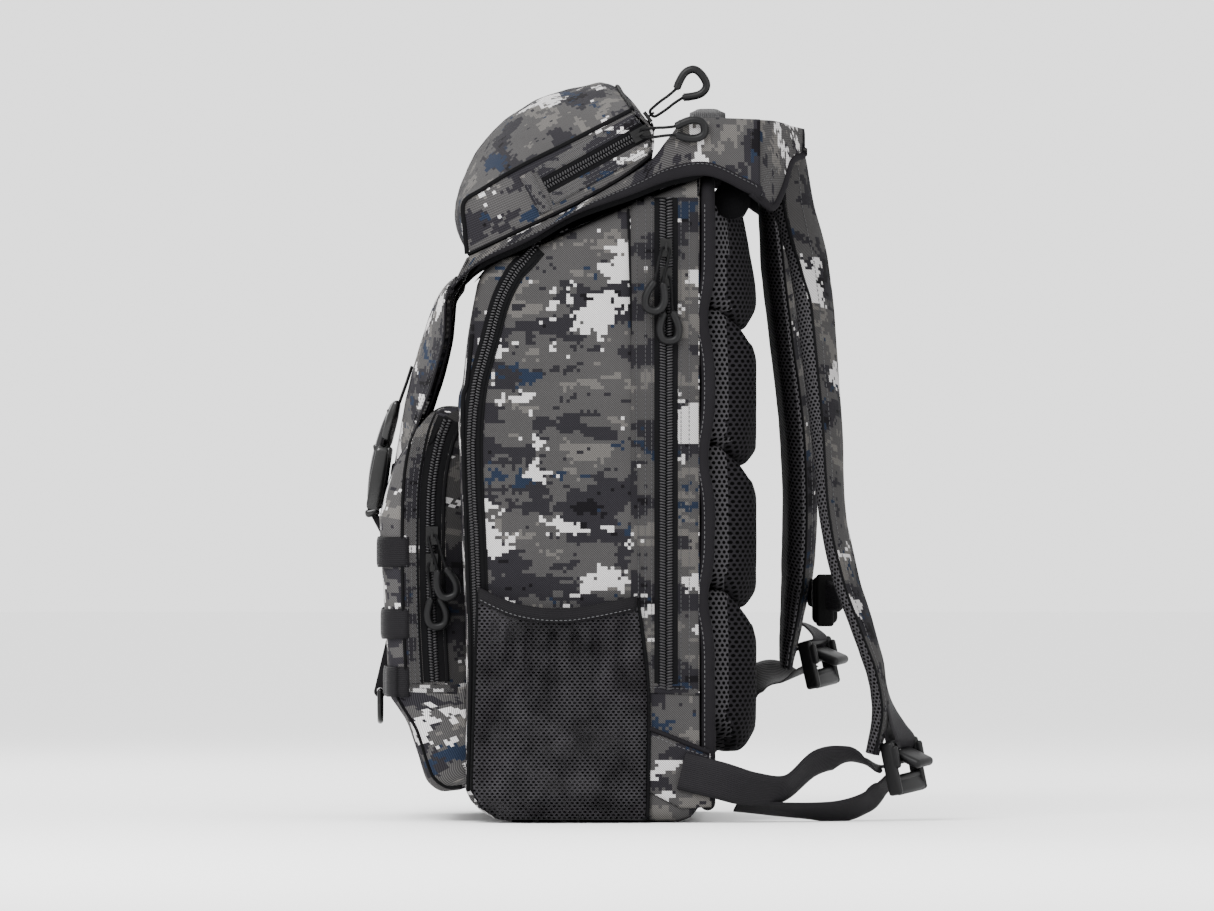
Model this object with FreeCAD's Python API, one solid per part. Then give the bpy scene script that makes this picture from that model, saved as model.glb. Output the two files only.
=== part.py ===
import FreeCAD, Part
import math
import os

# Tackle backpack.  Millimetres, +Z up.  -Y is the front (pocket side), +Y the wearer's back,
# +X the side with the zip pulls.  The origin is the middle of the flat base, on the floor.
# Outlines are side views: (y, z) points, extruded along X.

V = FreeCAD.Vector

# ---- main body ----
HALF = 150.0            # half width of the main body
WALL = 3.0              # fabric, foam and lining together
BACK_Y = 72.0           # rear face of the body
TOP_Z = 427.0           # top of the rear face
BODY_FRONT = [(-82.5, 21), (-81, 110), (-84, 200), (-86, 273), (-83, 291), (-80, 322), (-75, 355)]
BODY_SHOULDER = [(-75, 355), (-69, 366), (-58, 373), (-45.5, 376.5)]
BODY_TOP = [(-45.5, 376.5), (25, 408), (BACK_Y, TOP_Z)]
BODY_BASE = [(BACK_Y, 8), (64, 0), (-63, 0), (-73, 8), (-82.5, 21)]
SEAM_TOP = (25, 408)    # seam between the main and the rear compartment
SEAM_FOOT = (38, 0)
SHEET = 2.0             # divider and stiffener sheets

# ---- back of the pack ----
BINDING_Y = 82.5        # rear face of the edge binding
BINDING_WIDTH = 9.0
BINDING_FOOT = 8.0      # height of its lowest edge
PAD_HALF = 137.0
PAD_Y = 110.0           # outermost face of the back pads
PAD_EDGE_Y = 84.0
PAD_EDGES = [40, 135, 229, 320, 410]    # heights between the four back pads
PAD_GAP = 5.0

# ---- zips ----
TAPE = 1.0              # zip tape thickness on a panel
MAIN_ZIP_Y = -35.0     # its run across the top
REAR_ZIP_Y = 50.0
REAR_ZIP_ENDS = (86, 409)
TAPE_WIDTH = 16.0

# ---- front pocket ----
POCKET_HALF = 115.0
POCKET_CROWN = [(-86, 273), (-100, 273), (-112, 260), (-124, 244), (-132, 226), (-139, 199)]
POCKET_FOOT = [(-132, 82), (-123, 71), (-117, 55), (-110, 31), (-96, 19.5), (-82.5, 21)]
POCKET_ZIP_Y = -105.0
POCKET_ZIP_ENDS = (100, 252)
ROW_HEIGHT = 20.0       # webbing rows on the pocket face
ROW_THICK = 2.0
ROW_CENTRES = [178, 130.5, 92]
ROW_HALF = 104.0

# ---- mesh side pockets ----
MESH_OUT = 168.0        # outer face of a side pocket
MESH = 2.0
MESH_MOUTH = [(-74, 154), (-48, 143), (-14, 140), (31, 148)]
MESH_FOOT = [(31, 148), (38, 87), (38, 1), (-62, 1), (-72, 10), (-78, 22), (-74, 154)]
BAND = 9.5              # height of the elastic band
BAND_THICK = 1.5

# ---- lid ----
HINGE = (104.0, 462.5)  # lid hinge line
LID_HALF = 154.0
LID = 2.5               # lid sheet
LID_LINE = [(-81, 373), (-34, 395), (-7, 408), (21, 424), (40, 437), (52, 452), (66, 464), (101, 464)]
LID_RIM = [(101, 417), (91, 424), (78, 427), (53, 424), (26, 414), (-10, 401), (-40, 384),
           (-74, 368), (-92, 351)]
HOOD_HALF = 146.0
HOOD_CROWN = [(-81, 375.5), (-90, 395), (-88, 415), (-73, 446), (-40, 475), (0, 488), (17, 486)]
HOOD_REAR = [(17, 486), (31, 471), (40, 459), (41, 440)]
HOOD_ZIP = [(-30, 420), (38, 457)]
TONGUE = [(-89, 362, 118), (-103, 350, 108), (-113, 320, 98), (-121.5, 290, 84), (-127, 262, 60),
          (-131.5, 236, 32)]
TONGUE_THICK = 3.0
HANDLE_Y = (66.0, 90.0)
HANDLE_HALF = 80.0

# ---- yoke and shoulder straps: (y, z, x, width, thickness) ----
YOKE_TOP = [(107, 464), (125, 463), (141, 459)]
# The yoke's side, as stations of (y, half width, lower edge, upper edge).
YOKE_SIDE = [(107, 154, 414, 464), (121, 140, 406, 463.3), (133, 118, 436, 460.5), (141, 104, 442, 459)]
YOKE_WEB_HALF = 100.0
STRAP_RIGHT = [(129, 437, 48, 70, 13), (137, 410, 52, 70, 15), (144, 370, 58, 70, 18),
               (151, 320, 66, 70, 18), (155.5, 265, 75, 68, 17), (161, 205, 86, 66, 15),
               (169.5, 165, 93, 62, 14), (180, 130, 98, 56, 13), (189, 100, 101, 48, 12),
               (192, 70, 102, 42, 11), (186, 47, 102, 36, 9)]
STRAP_LEFT = [(120, 437, -48, 70, 13), (120.5, 410, -52, 70, 13), (123, 370, -58, 70, 16),
              (131, 320, -66, 70, 17), (138, 265, -75, 68, 17), (141.5, 205, -86, 66, 16),
              (140, 165, -93, 62, 15), (137.5, 140, -97, 56, 13), (135, 118, -100, 48, 12),
              (133, 98, -101, 42, 10)]
WEB = 1.8               # webbing thickness
WEB_WIDTH = 25.0
LOCK_HALF = 17.0        # ladder lock half width

# ---- buckle, D-ring, zip pulls ----
BUCKLE_HALF = 17.0
RING_BAR = (-141.0, 84.0)
RING_HALF = 12.0
RING_WIRE = 4.0
CORD = 2.0              # diameter of a pull cord
GRIP = 4.6              # diameter of a rubber pull grip
# One pull, flat: distance from the slider eye, and distance to the side.
CORD_ROUTE = [(24, -2.9), (17.5, -2.5), (11, -3.0), (5, -2.9), (0, -2.6),
              (0, 2.6), (5, 2.9), (11, 3.0), (17.5, 2.5), (24, 2.9)]
GRIP_ROUTE = [(24, -2.9), (29, -5.2), (36, -6.6), (42.5, -4.2),
              (42.5, 4.2), (36, 6.6), (29, 5.2), (24, 2.9)]


# ---------- helpers ----------
def edge(points, x):
    """A straight edge through two points, or a smooth curve through more."""
    spots = [V(x, y, z) for y, z in points]
    if len(spots) == 2:
        return Part.LineSegment(spots[0], spots[1]).toShape()
    curve = Part.BSplineCurve()
    curve.interpolate(spots)
    return curve.toShape()


def straight(points):
    """The straight runs from each point to the next."""
    return [list(pair) for pair in zip(points, points[1:])]


def prism(runs, x0, x1):
    """A side-view outline, made of runs that meet end to end, extruded from x0 to x1."""
    wire = Part.Wire([edge(run, x0) for run in runs])
    return Part.Face(wire).extrude(V(x1 - x0, 0, 0))


def polygon(points, x0, x1):
    return prism(straight(points + [points[0]]), x0, x1)


def shift(points, inward):
    """An open line of points moved to its left by a distance."""
    moved = []
    for i, (y, z) in enumerate(points):
        y0, z0 = points[max(i - 1, 0)]
        y1, z1 = points[min(i + 1, len(points) - 1)]
        length = math.hypot(y1 - y0, z1 - z0)
        moved.append((y - (z1 - z0) / length * inward, z + (y1 - y0) / length * inward))
    return moved


def strip(points, thick, x0, x1):
    """A sheet of even thickness under an open side-view line."""
    return polygon(points + shift(points, thick)[::-1], x0, x1)


def box(x0, x1, y0, y1, z0, z1):
    return Part.makeBox(x1 - x0, y1 - y0, z1 - z0, V(x0, y0, z0))


def loft(sections):
    """A solid through closed four-sided sections, with straight sides between them."""
    wires = [Part.makePolygon(corners + [corners[0]]) for corners in sections]
    return Part.makeLoft(wires, True, True)


def ribbon(stations):
    """A strap: stations of (centre, across, width, thickness), across being a unit vector."""
    sections = []
    for i, (centre, across, width, thick) in enumerate(stations):
        before = stations[max(i - 1, 0)][0]
        after = stations[min(i + 1, len(stations) - 1)][0]
        out = (after - before).cross(across).normalize()
        side = across * (width / 2.0)
        skin = out * (thick / 2.0)
        sections.append([centre - side - skin, centre + side - skin,
                         centre + side + skin, centre - side + skin])
    return loft(sections)


def tube(route, diameter):
    """A round tube along straight runs joined by tangent arcs; prints its smallest radius."""
    edges = []
    radii = []
    start = route[0]
    for a, b, c in zip(route, route[1:], route[2:]):
        into = (b - a).normalize()
        out = (c - b).normalize()
        half = into.getAngle(out) / 2.0
        reach = 0.45 * min((b - a).Length, (c - b).Length)
        radius = reach / math.tan(half)
        radii.append(radius)
        first = b - into * reach
        last = b + out * reach
        inside = (out - into).normalize()
        middle = b + inside * (radius / math.cos(half) - radius)
        edges.append(Part.LineSegment(start, first).toShape())
        edges.append(Part.Arc(first, middle, last).toShape())
        start = last
    edges.append(Part.LineSegment(start, route[-1]).toShape())
    path = Part.Wire(edges)
    ring = Part.Wire(Part.makeCircle(diameter / 2.0, route[0], route[1] - route[0]))
    solid = path.makePipeShell([ring], True, False)
    ideal = math.pi * diameter ** 2 / 4.0 * path.Length
    print("tube: length %.1f, smallest radius %.1f, volume ratio %.3f"
          % (path.Length, min(radii), solid.Volume / ideal))
    return solid


def mirror(shape):
    return shape.mirror(V(0, 0, 0), V(1, 0, 0))


# ---------- main body ----------
def body_solid():
    runs = [BODY_FRONT, BODY_SHOULDER] + straight(BODY_TOP + BODY_BASE)
    return prism(runs, -HALF, HALF)


def body_core():
    """The space inside the body walls."""
    front = [(y + WALL, z) for y, z in BODY_FRONT]
    shoulder = [front[-1], (-66.5, 363), (-57, 369.6), (-45, 373.3)]
    rear = BACK_Y - WALL
    rest = [shoulder[-1], (25, 404.7), (rear, 422.7), (rear, 9.5), (63, WALL), (-61, WALL),
            (-70.5, 10.5), front[0]]
    return prism([front, shoulder] + straight(rest), -HALF + WALL, HALF - WALL)


def seam_region(ahead):
    """Everything ahead of, or behind, the seam between the two compartments."""
    far = -400 if ahead else 400
    line = [(SEAM_FOOT[0], -50), SEAM_FOOT, SEAM_TOP, (SEAM_TOP[0], 500)]
    return polygon(line + [(far, 500), (far, -50)], -HALF - 1, HALF + 1)


def body_panels():
    """The sewn panels of the body, cut from one wall so that each meets the next."""
    wall = body_solid().cut(body_core())
    inner = HALF - WALL
    right = wall.common(box(inner, HALF + 1, -200, 200, -1, 500))
    left = wall.common(box(-HALF - 1, -inner, -200, 200, -1, 500))
    ahead = seam_region(True)
    behind = seam_region(False)
    ring = wall.common(box(-inner, inner, -200, 200, -1, 500))
    base_cut = 21.0
    top_cut = 376.0
    rear_cut = BACK_Y - WALL
    gussets = Part.makeCompound([right.common(behind), left.common(behind)])
    return {
        "side_panel_right": right.common(ahead),
        "side_panel_left": left.common(ahead),
        "rear_gussets": gussets,
        "base_panel": ring.common(box(-inner, inner, -200, rear_cut, -1, base_cut)),
        "front_panel": ring.common(box(-inner, inner, -200, -20, base_cut, top_cut)),
        "top_panel": ring.common(box(-inner, inner, -200, rear_cut, top_cut, 500)),
        "back_panel": ring.common(box(-inner, inner, rear_cut, 200, -1, 500)),
    }


def divider():
    """The sheet between the main and the rear compartment."""
    line = [SEAM_TOP, SEAM_FOOT]
    sheet = strip(line, SHEET, -HALF, HALF)
    return sheet.common(body_core()).common(box(-HALF, HALF, -100, 100, 6, 402))


def frame_sheet():
    """The stiff sheet that keeps the back flat, inside the rear compartment."""
    rear = BACK_Y - WALL
    return box(-130, 130, rear - SHEET, rear, 20, 405)


def base_board():
    return box(-138, 138, -56, 30, WALL, WALL + SHEET)


# ---------- back ----------
def back_binding():
    """Padded binding round the edge of the back: two uprights, a head and a foot."""
    inner = HALF - BINDING_WIDTH
    low = BINDING_FOOT + BINDING_WIDTH
    high = TOP_Z - BINDING_WIDTH
    right = box(inner, HALF, BACK_Y, BINDING_Y, BINDING_FOOT, TOP_Z)
    head = box(-inner, inner, BACK_Y, BINDING_Y, high, TOP_Z)
    foot = box(-inner, inner, BACK_Y, BINDING_Y, BINDING_FOOT, low)
    return Part.makeCompound([right, mirror(right), head, foot])


def back_pads():
    """Four mesh pads, one above the other, each crowned away from the back."""
    pads = []
    for low, high in zip(PAD_EDGES, PAD_EDGES[1:]):
        low = low + PAD_GAP / 2.0
        high = high - PAD_GAP / 2.0
        swell = (high - low) / 6.0
        crown = [(PAD_EDGE_Y, low), (PAD_Y - 5, low + swell), (PAD_Y, low + 3 * swell),
                 (PAD_Y - 5, high - swell), (PAD_EDGE_Y, high)]
        back = [(PAD_EDGE_Y, high), (BACK_Y, high), (BACK_Y, low), (PAD_EDGE_Y, low)]
        pads.append(prism([crown] + straight(back), -PAD_HALF, PAD_HALF))
    return Part.makeCompound(pads)


# ---------- zips ----------
def main_zip():
    """Zip round the front panel: down both sides and across the top."""
    line = [(-57, 361), (-65, 334), (-71, 300), (-74, 268), (-74.5, 212), (-71, 173), (-69, 114),
            (-69, 34)]
    half = TAPE_WIDTH / 2.0
    band = [(y - half, z) for y, z in line] + [(y + half, z) for y, z in reversed(line)]
    side = polygon(band, HALF, HALF + TAPE).common(box(0, 200, -100, 100, 0, 500))
    side = side.common(prism([BODY_FRONT, BODY_SHOULDER] + straight(BODY_TOP + BODY_BASE), 0, 200))
    y = MAIN_ZIP_Y
    across = strip([(y + half, top_z(y + half)), (y - half, top_z(y - half))], -TAPE,
                   -HALF + 4, HALF - 4)
    return Part.makeCompound([side, mirror(side), across])


def top_z(y):
    """Height of the body's top at a depth ahead of the seam."""
    (y0, z0), (y1, z1) = BODY_TOP[:2]
    return z0 + (z1 - z0) * (y - y0) / (y1 - y0)


def rear_zip():
    """Zip of the rear compartment: up both sides and across the top."""
    low, high = REAR_ZIP_ENDS
    half = TAPE_WIDTH / 2.0
    side = box(HALF, HALF + TAPE, REAR_ZIP_Y - half, REAR_ZIP_Y + half, low, high)
    slope = [(REAR_ZIP_Y + half, 424), (REAR_ZIP_Y - half, 418)]
    across = strip(slope, -TAPE * 2, -HALF + 4, HALF - 4).cut(body_solid())
    return Part.makeCompound([side, mirror(side), across])


# ---------- front pocket ----------
def pocket_runs(inward):
    crown = [(y + inward, z - inward * 0.6) for y, z in POCKET_CROWN]
    foot = [(y + inward, z + inward * 0.6) for y, z in POCKET_FOOT]
    crown[0] = (-60, crown[0][1])
    foot[-1] = (-60, foot[-1][1])
    return [[crown[0], crown[1]], crown[1:], [crown[-1], foot[0]], foot[:-1],
            [foot[-2], foot[-1]], [foot[-1], crown[0]]]


def pocket_shell():
    outer = prism(pocket_runs(0), -POCKET_HALF, POCKET_HALF)
    inner = prism(pocket_runs(WALL), -POCKET_HALF + WALL, POCKET_HALF - WALL)
    return outer.cut(inner).cut(body_solid())


def front_pocket_face():
    return pocket_shell().common(box(-200, 200, -200, POCKET_ZIP_Y, 0, 400))


def front_pocket_gusset():
    return pocket_shell().common(box(-200, 200, POCKET_ZIP_Y, 0, 0, 400))


def front_zip():
    """Zip tape on both sides of the pocket and over its crown."""
    low, high = POCKET_ZIP_ENDS
    half = TAPE_WIDTH / 2.0
    side = box(POCKET_HALF, POCKET_HALF + TAPE, POCKET_ZIP_Y - half, POCKET_ZIP_Y + half, low, high)
    return Part.makeCompound([side, mirror(side)])


def face_y(z):
    """Front of the pocket at a height on its flat face."""
    (y1, z1), (y0, z0) = POCKET_CROWN[-1], POCKET_FOOT[0]
    return y0 + (y1 - y0) * (z - z0) / (z1 - z0)


def molle_rows():
    rows = []
    for centre in ROW_CENTRES:
        low = centre - ROW_HEIGHT / 2.0
        high = centre + ROW_HEIGHT / 2.0
        outline = [(face_y(low), low), (face_y(high), high),
                   (face_y(high) - ROW_THICK, high), (face_y(low) - ROW_THICK, low)]
        rows.append(polygon(outline, -ROW_HALF, ROW_HALF))
    return Part.makeCompound(rows)


def web_tabs():
    """Two sewn tabs on the pocket face: one holds the buckle socket, one the D-ring."""
    y, z = RING_BAR
    over_row = (face_y(104) - ROW_THICK - 0.4, 104)
    ring_tab = polygon([(face_y(118), 118), (face_y(106), 106), over_row, (y + 2.2, z),
                        (y - 4.2, z), (face_y(118) - 3, 118)], -9, 9)
    loop = Part.makeCylinder(4.2, 18, V(-9, y, z), V(1, 0, 0))
    hole = Part.makeCylinder(2.4, 20, V(-10, y, z), V(1, 0, 0))
    ring_tab = ring_tab.fuse(loop).cut(hole)
    ring_tab = ring_tab.cut(polygon([(face_y(z), z), (face_y(118), 118), (-100, 118), (-100, z)],
                                    -20, 20))
    buckle_tab = polygon([(face_y(189), 189), (face_y(199), 199), (-146, 204.5), (-147.5, 202.5),
                          (face_y(189) - 2, 189)], -12.5, 12.5)
    return Part.makeCompound([ring_tab, buckle_tab])


# ---------- mesh side pockets ----------
def mesh_pocket():
    """A mesh pouch on the +X side, open at its mouth."""
    outer = prism([MESH_MOUTH, *straight(MESH_FOOT)], HALF + TAPE + 0.3, MESH_OUT)
    room = [(-74 + MESH, 200), (33, 200), (38 - MESH, 87), (38 - MESH, 1 + MESH), (-61, 1 + MESH),
            (-70.5, 11), (-76, 23)]
    return outer.cut(polygon(room, HALF - 1, MESH_OUT - MESH))


def pocket_bands():
    """The elastic band along the outside of each mesh mouth."""
    lower = [(y, z - BAND) for y, z in reversed(MESH_MOUTH)]
    runs = [MESH_MOUTH, [MESH_MOUTH[-1], lower[0]], lower, [lower[-1], MESH_MOUTH[0]]]
    band = prism(runs, MESH_OUT, MESH_OUT + BAND_THICK)
    return Part.makeCompound([band, mirror(band)])


# ---------- lid ----------
def lid_flap():
    """The lid sheet with its side skirts and front lip."""
    sheet = strip(LID_LINE, -LID, -LID_HALF, LID_HALF)
    skirt_runs = straight(LID_LINE + LID_RIM + [LID_LINE[0]])
    right = prism(skirt_runs, LID_HALF - LID, LID_HALF)
    lip = polygon([(-81, 373), (-92, 351), (-89.5, 350), (-78.5, 372)], -LID_HALF, LID_HALF)
    return sheet.fuse([right, mirror(right), lip]).removeSplitter()


def hood_shell():
    """The raised pocket on the lid."""
    top = [HOOD_CROWN, *straight(HOOD_REAR)]
    floor = [HOOD_REAR[-1], *reversed(LID_LINE[:5])]
    outer = prism(top + straight(floor) + [[LID_LINE[0], HOOD_CROWN[0]]], -HOOD_HALF, HOOD_HALF)
    crown = [(y * 0.965 + 0.5, z - 2.6) for y, z in HOOD_CROWN]
    rear = [crown[-1], (28, 469), (37, 458), (38, 440)]
    under = [rear[-1], (20, 425.5), (-7, 410), (-34, 397), (-75, 378), crown[0]]
    inner = prism([crown, *straight(rear), *straight(under)], -HOOD_HALF + LID, HOOD_HALF - LID)
    return outer.cut(inner).cut(strip(LID_LINE, -LID, -LID_HALF, LID_HALF))


def hood_zip():
    """Zip along each side of the hood and across its rear."""
    half = 5.0
    (y0, z0), (y1, z1) = HOOD_ZIP
    along = [(y0, z0 - half), (y1, z1 - half), (y1, z1 + half), (y0, z0 + half)]
    side = polygon(along, HOOD_HALF, HOOD_HALF + TAPE)
    (ya, za), (yb, zb) = HOOD_REAR[1:3]
    run = [(yb - 0.05 * (yb - ya), zb - 0.05 * (zb - za)), (ya + 0.1 * (yb - ya), za + 0.1 * (zb - za))]
    across = strip(run, -TAPE, -HOOD_HALF, HOOD_HALF)
    return Part.makeCompound([side, mirror(side), across])


def tongue():
    stations = []
    for y, z, half in TONGUE:
        stations.append((V(0, y, z), V(1, 0, 0), 2.0 * half, TONGUE_THICK))
    return ribbon(stations).cut(lid_flap())


def carry_handle():
    """A low webbing arch across the lid, with its ends sewn down."""
    low = LID_LINE[-1][1]
    arch = [(-HANDLE_HALF, low), (-HANDLE_HALF + 12, low), (-HANDLE_HALF + 26, low + 5),
            (HANDLE_HALF - 26, low + 5), (HANDLE_HALF - 12, low), (HANDLE_HALF, low)]
    top = [(x, z + 2.5) for x, z in reversed(arch)]
    spots = [V(x, HANDLE_Y[0], z) for x, z in arch + top]
    face = Part.Face(Part.makePolygon(spots + [spots[0]]))
    return face.extrude(V(0, HANDLE_Y[1] - HANDLE_Y[0], 0))


# ---------- yoke and shoulder straps ----------
def yoke():
    """The top of the back behind the lid: a sheet, its sides, and the web down to the back."""
    sheet = strip(YOKE_TOP, -LID, -LID_HALF, LID_HALF)
    plan = [V(x, y, 400) for y, x, low, high in YOKE_SIDE]
    plan += [V(-x, y, 400) for y, x, low, high in reversed(YOKE_SIDE)]
    sheet = sheet.common(Part.Face(Part.makePolygon(plan + [plan[0]])).extrude(V(0, 0, 100)))
    side = loft([[V(x - LID, y, low), V(x, y, low), V(x, y, high), V(x - LID, y, high)]
                 for y, x, low, high in YOKE_SIDE])
    web = polygon([(108.5, 462), (112, 462), (90, 418), (BINDING_Y, 412), (BINDING_Y, 420)],
                  -YOKE_WEB_HALF, YOKE_WEB_HALF)
    return sheet.fuse([side, mirror(side), web]).removeSplitter()


def shoulder_strap(sections):
    across = V(1, 0, 0)
    stations = [(V(x, y, z), across, width, thick) for y, z, x, width, thick in sections]
    return ribbon(stations).cut(yoke())


def across_web(tilt, turn):
    """Unit vector across a webbing: along X, turned towards -Y, then tilted up towards Z."""
    tilt, turn = math.radians(tilt), math.radians(turn)
    flat = math.cos(tilt)
    return V(flat * math.cos(turn), -flat * math.sin(turn), math.sin(tilt))


def webbing(stations):
    """Webbing through stations of (x, y, z, tilt, turn)."""
    return ribbon([(V(x, y, z), across_web(tilt, turn), WEB_WIDTH, WEB)
                   for x, y, z, tilt, turn in stations])


RUN_RIGHT = [(153.2, 60, 34, 90, 0), (154, 84, 28, 85, 0), (148, 106, 22, 62, 0),
             (137, 128, 22, 42, 5), (125, 148, 38, 38, 12), (114, 166, 41.5, 24, 24),
             (104, 180, 38.5, 8, 32), (97.5, 191, 35.5, 0, 35), (99.5, 199.5, 36, 0, 35)]
TAIL_RIGHT = [(99.5, 201, 28.5, 0, 35), (97, 193, 21, 0, 35), (100, 183, 12, 12, 33),
              (106, 168, 6.8, 25, 26), (116, 147, 6.8, 24, 14), (125, 119, 8.5, 22, 5),
              (129, 97, 11.5, 26, 0)]
RUN_LEFT = [(-153.2, 60, 36, -90, 0), (-154.2, 80, 52, -87, 0), (-152, 98, 76, -80, 0),
            (-146, 112, 89, -66, 0), (-132, 123, 92, -45, 8), (-116, 135, 91, -12, 20),
            (-107, 144.5, 96.5, 0, 28), (-104.5, 149, 99, 0, 28)]


def strap_wings():
    """Triangular fabric wings on the lower sides that hold the webbing."""
    wing = polygon([(39, 58), (79, 50), (80, 12), (60, 8), (39, 20)], HALF + 0.2, HALF + 2.0)
    return Part.makeCompound([wing, mirror(wing)])


def ladder_lock(x, top, foot, turn):
    """A ladder lock: a plate with two slots, from its strap bar to its free lip.

    It is turned about its length, so that its outer face looks partly towards +X.
    """
    along = V(0, foot[0] - top[0], foot[1] - top[1])
    length = along.Length
    along.normalize()
    turn = math.radians(turn)
    across = OUT * math.cos(turn) + along.cross(OUT) * math.sin(turn)
    out = across.cross(along)
    plate = Part.makeBox(2 * LOCK_HALF, 7.0, length, V(-LOCK_HALF, -3.5, 0))
    for start, end in ((4.5, 10.5), (16.0, 23.0)):
        plate = plate.cut(Part.makeBox(26.6, 20, end - start, V(-13.3, -10, start)))
    placed = FreeCAD.Placement(V(x, top[0], top[1]), FreeCAD.Rotation(across, -out, along))
    plate.Placement = placed
    return plate


def sternum_strap():
    """Two webbings from the shoulder straps to the chest buckle."""
    right = webbing_bar(V(78, 170.5, 150), V(18, 158, 149))
    left = webbing_bar(V(-86, 147.5, 150), V(-18, 158, 149))
    right = right.cut(shoulder_strap(STRAP_RIGHT)).cut(sternum_buckle())
    left = left.cut(shoulder_strap(STRAP_LEFT)).cut(sternum_buckle())
    return Part.makeCompound([right, left])


def webbing_bar(a, b):
    up = V(0, 0, 1)
    return ribbon([(a, up, 20, WEB), (b, up, 20, WEB)])


def sternum_buckle():
    return box(-18, 18, 152.5, 163.5, 137, 161)


# ---------- buckle on the front ----------
def buckle_socket():
    """Open-fronted socket: back plate, two rails and the webbing bar."""
    back = polygon([(-135.5, 246), (-138, 246), (-146, 208), (-143.5, 208)], -BUCKLE_HALF, BUCKLE_HALF)
    rail = polygon([(-138, 246), (-143.5, 246), (-150, 208), (-146, 208)], BUCKLE_HALF - 2.5,
                   BUCKLE_HALF)
    bar = polygon([(-143.5, 208), (-150, 208), (-150, 204.6), (-146, 204.6)], -BUCKLE_HALF,
                  BUCKLE_HALF)
    return back.fuse([rail, mirror(rail), bar]).removeSplitter()


def buckle_plug():
    """The half on the lid: a body, a long curved shield in front and two prongs."""
    seat = polygon([(-126.5, 277), (-134, 277), (-141, 248), (-134, 248)], -BUCKLE_HALF, BUCKLE_HALF)
    seat = seat.cut(tongue())
    shield = prism([[(-134, 277), (-143, 250), (-150, 217)], [(-150, 217), (-147.8, 217)],
                    [(-147.8, 217), (-140.5, 250), (-131, 277)], [(-131, 277), (-134, 277)]], -13, 13)
    prongs = []
    for x in (-13.0, 7.5):
        prongs.append(polygon([(-141.1, 249), (-138.2, 249), (-143.3, 225), (-146.6, 225)], x, x + 5.5))
    return seat.fuse([shield] + prongs).removeSplitter()


def d_ring():
    """A D-ring hanging from its bar."""
    y, z = RING_BAR
    wire = RING_WIRE / 2.0
    leg = 8.0
    bar = Part.makeCylinder(wire, 2 * RING_HALF, V(-RING_HALF, y, z), V(1, 0, 0))
    knees = [Part.makeSphere(wire, V(s * RING_HALF, y, z)) for s in (-1, 1)]
    legs = [Part.makeCylinder(wire, leg, V(s * RING_HALF, y, z), V(0, 0, -1)) for s in (-1, 1)]
    bend = Part.makeTorus(RING_HALF, wire, V(0, y, z - leg), V(0, 1, 0))
    bend = bend.common(box(-50, 50, y - 20, y + 20, z - leg - 50, z - leg))
    return bar.fuse(knees + legs + [bend]).removeSplitter()


# ---------- sliders and pulls ----------
def place(eye, away, side, flare, spread):
    """A function that takes a flat point of a pull, (away, side), to its place.

    flare moves the pull outwards along X past the slider; spread widens it towards its end.
    """
    def at(point):
        wide = point[1] * (1.0 + spread * point[0] / GRIP_ROUTE[3][0])
        lift = V(flare * (1.0 - math.exp(-point[0] / 8.0)), 0, 0)
        return eye + away * point[0] + side * wide + lift
    return at


def slider(eye, travel, out):
    """Zip slider: a body on the zip and a hooked bridge, open along travel, that holds the cord."""
    across = out.cross(travel)
    body = Part.makeBox(12, 8, 2.3, V(-6, -4, -3.9))
    bridge = Part.makeBox(5.8, 1.6, 5.0, V(-3.5, -0.8, -2.6))
    hole = Part.makeBox(6.0, 4, 2.8, V(-2.3, -2, -1.4))
    shape = body.fuse(bridge).cut(hole)
    shape.Placement = FreeCAD.Placement(eye, FreeCAD.Rotation(travel, across, out, "XYZ"))
    return shape


DOWN = V(0, 0, -1)
OUT = V(1, 0, 0)
ZIP_SLOPE = V(0, HOOD_ZIP[1][0] - HOOD_ZIP[0][0], HOOD_ZIP[1][1] - HOOD_ZIP[0][1]).normalize()
REAR_OUT = V(0, 0.8, 0.6)
REAR_UP = V(0, -0.6, 0.8)
TOP_OUT = V(0, -0.408, 0.913)
RISE = 3.9 + TAPE + 0.3     # height of a slider's eye over the panel


def leaning(y, z):
    """A direction in the side view."""
    return V(0, y, z).normalize()


# name: (eye, the way the bridge opens, out, direction of the pull, direction across the pull, flare, spread)
PULLS = {
    "rear_upper": (V(HALF + RISE, REAR_ZIP_Y, 379), DOWN, OUT, leaning(-0.22, -1), leaning(1, -0.22),
                   5.8, 0),
    "rear_lower": (V(HALF + RISE, REAR_ZIP_Y, 360), DOWN, OUT, leaning(0.06, -1), leaning(1, 0.06),
                   0, 0),
    "front_upper": (V(POCKET_HALF + RISE, POCKET_ZIP_Y, 189), DOWN, OUT, leaning(0.30, -1),
                    leaning(1, 0.30), 5.8, 0),
    "front_lower": (V(POCKET_HALF + RISE, POCKET_ZIP_Y, 171), DOWN, OUT, leaning(0.10, -1),
                    leaning(1, 0.10), 0, 0),
    "hood_side": (V(HOOD_HALF + RISE, 33, 454.3), ZIP_SLOPE, OUT, leaning(1, 0.08),
                  leaning(-0.08, 1), 6.6, 0),
    "hood_rear": (V(132, 36, 464.3) + REAR_OUT * RISE, OUT, REAR_OUT, REAR_OUT, REAR_UP, 0, 0.5),
}


def pull_parts():
    parts = {}
    for name, (eye, travel, out, away, side, flare, spread) in PULLS.items():
        at = place(eye, away, side, flare, spread)
        parts[name + "_slider"] = slider(eye, travel, out)
        parts[name + "_cord"] = tube([at(p) for p in CORD_ROUTE], CORD)
        parts[name + "_grip"] = tube([at(p) for p in GRIP_ROUTE], GRIP)
    return parts


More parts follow.
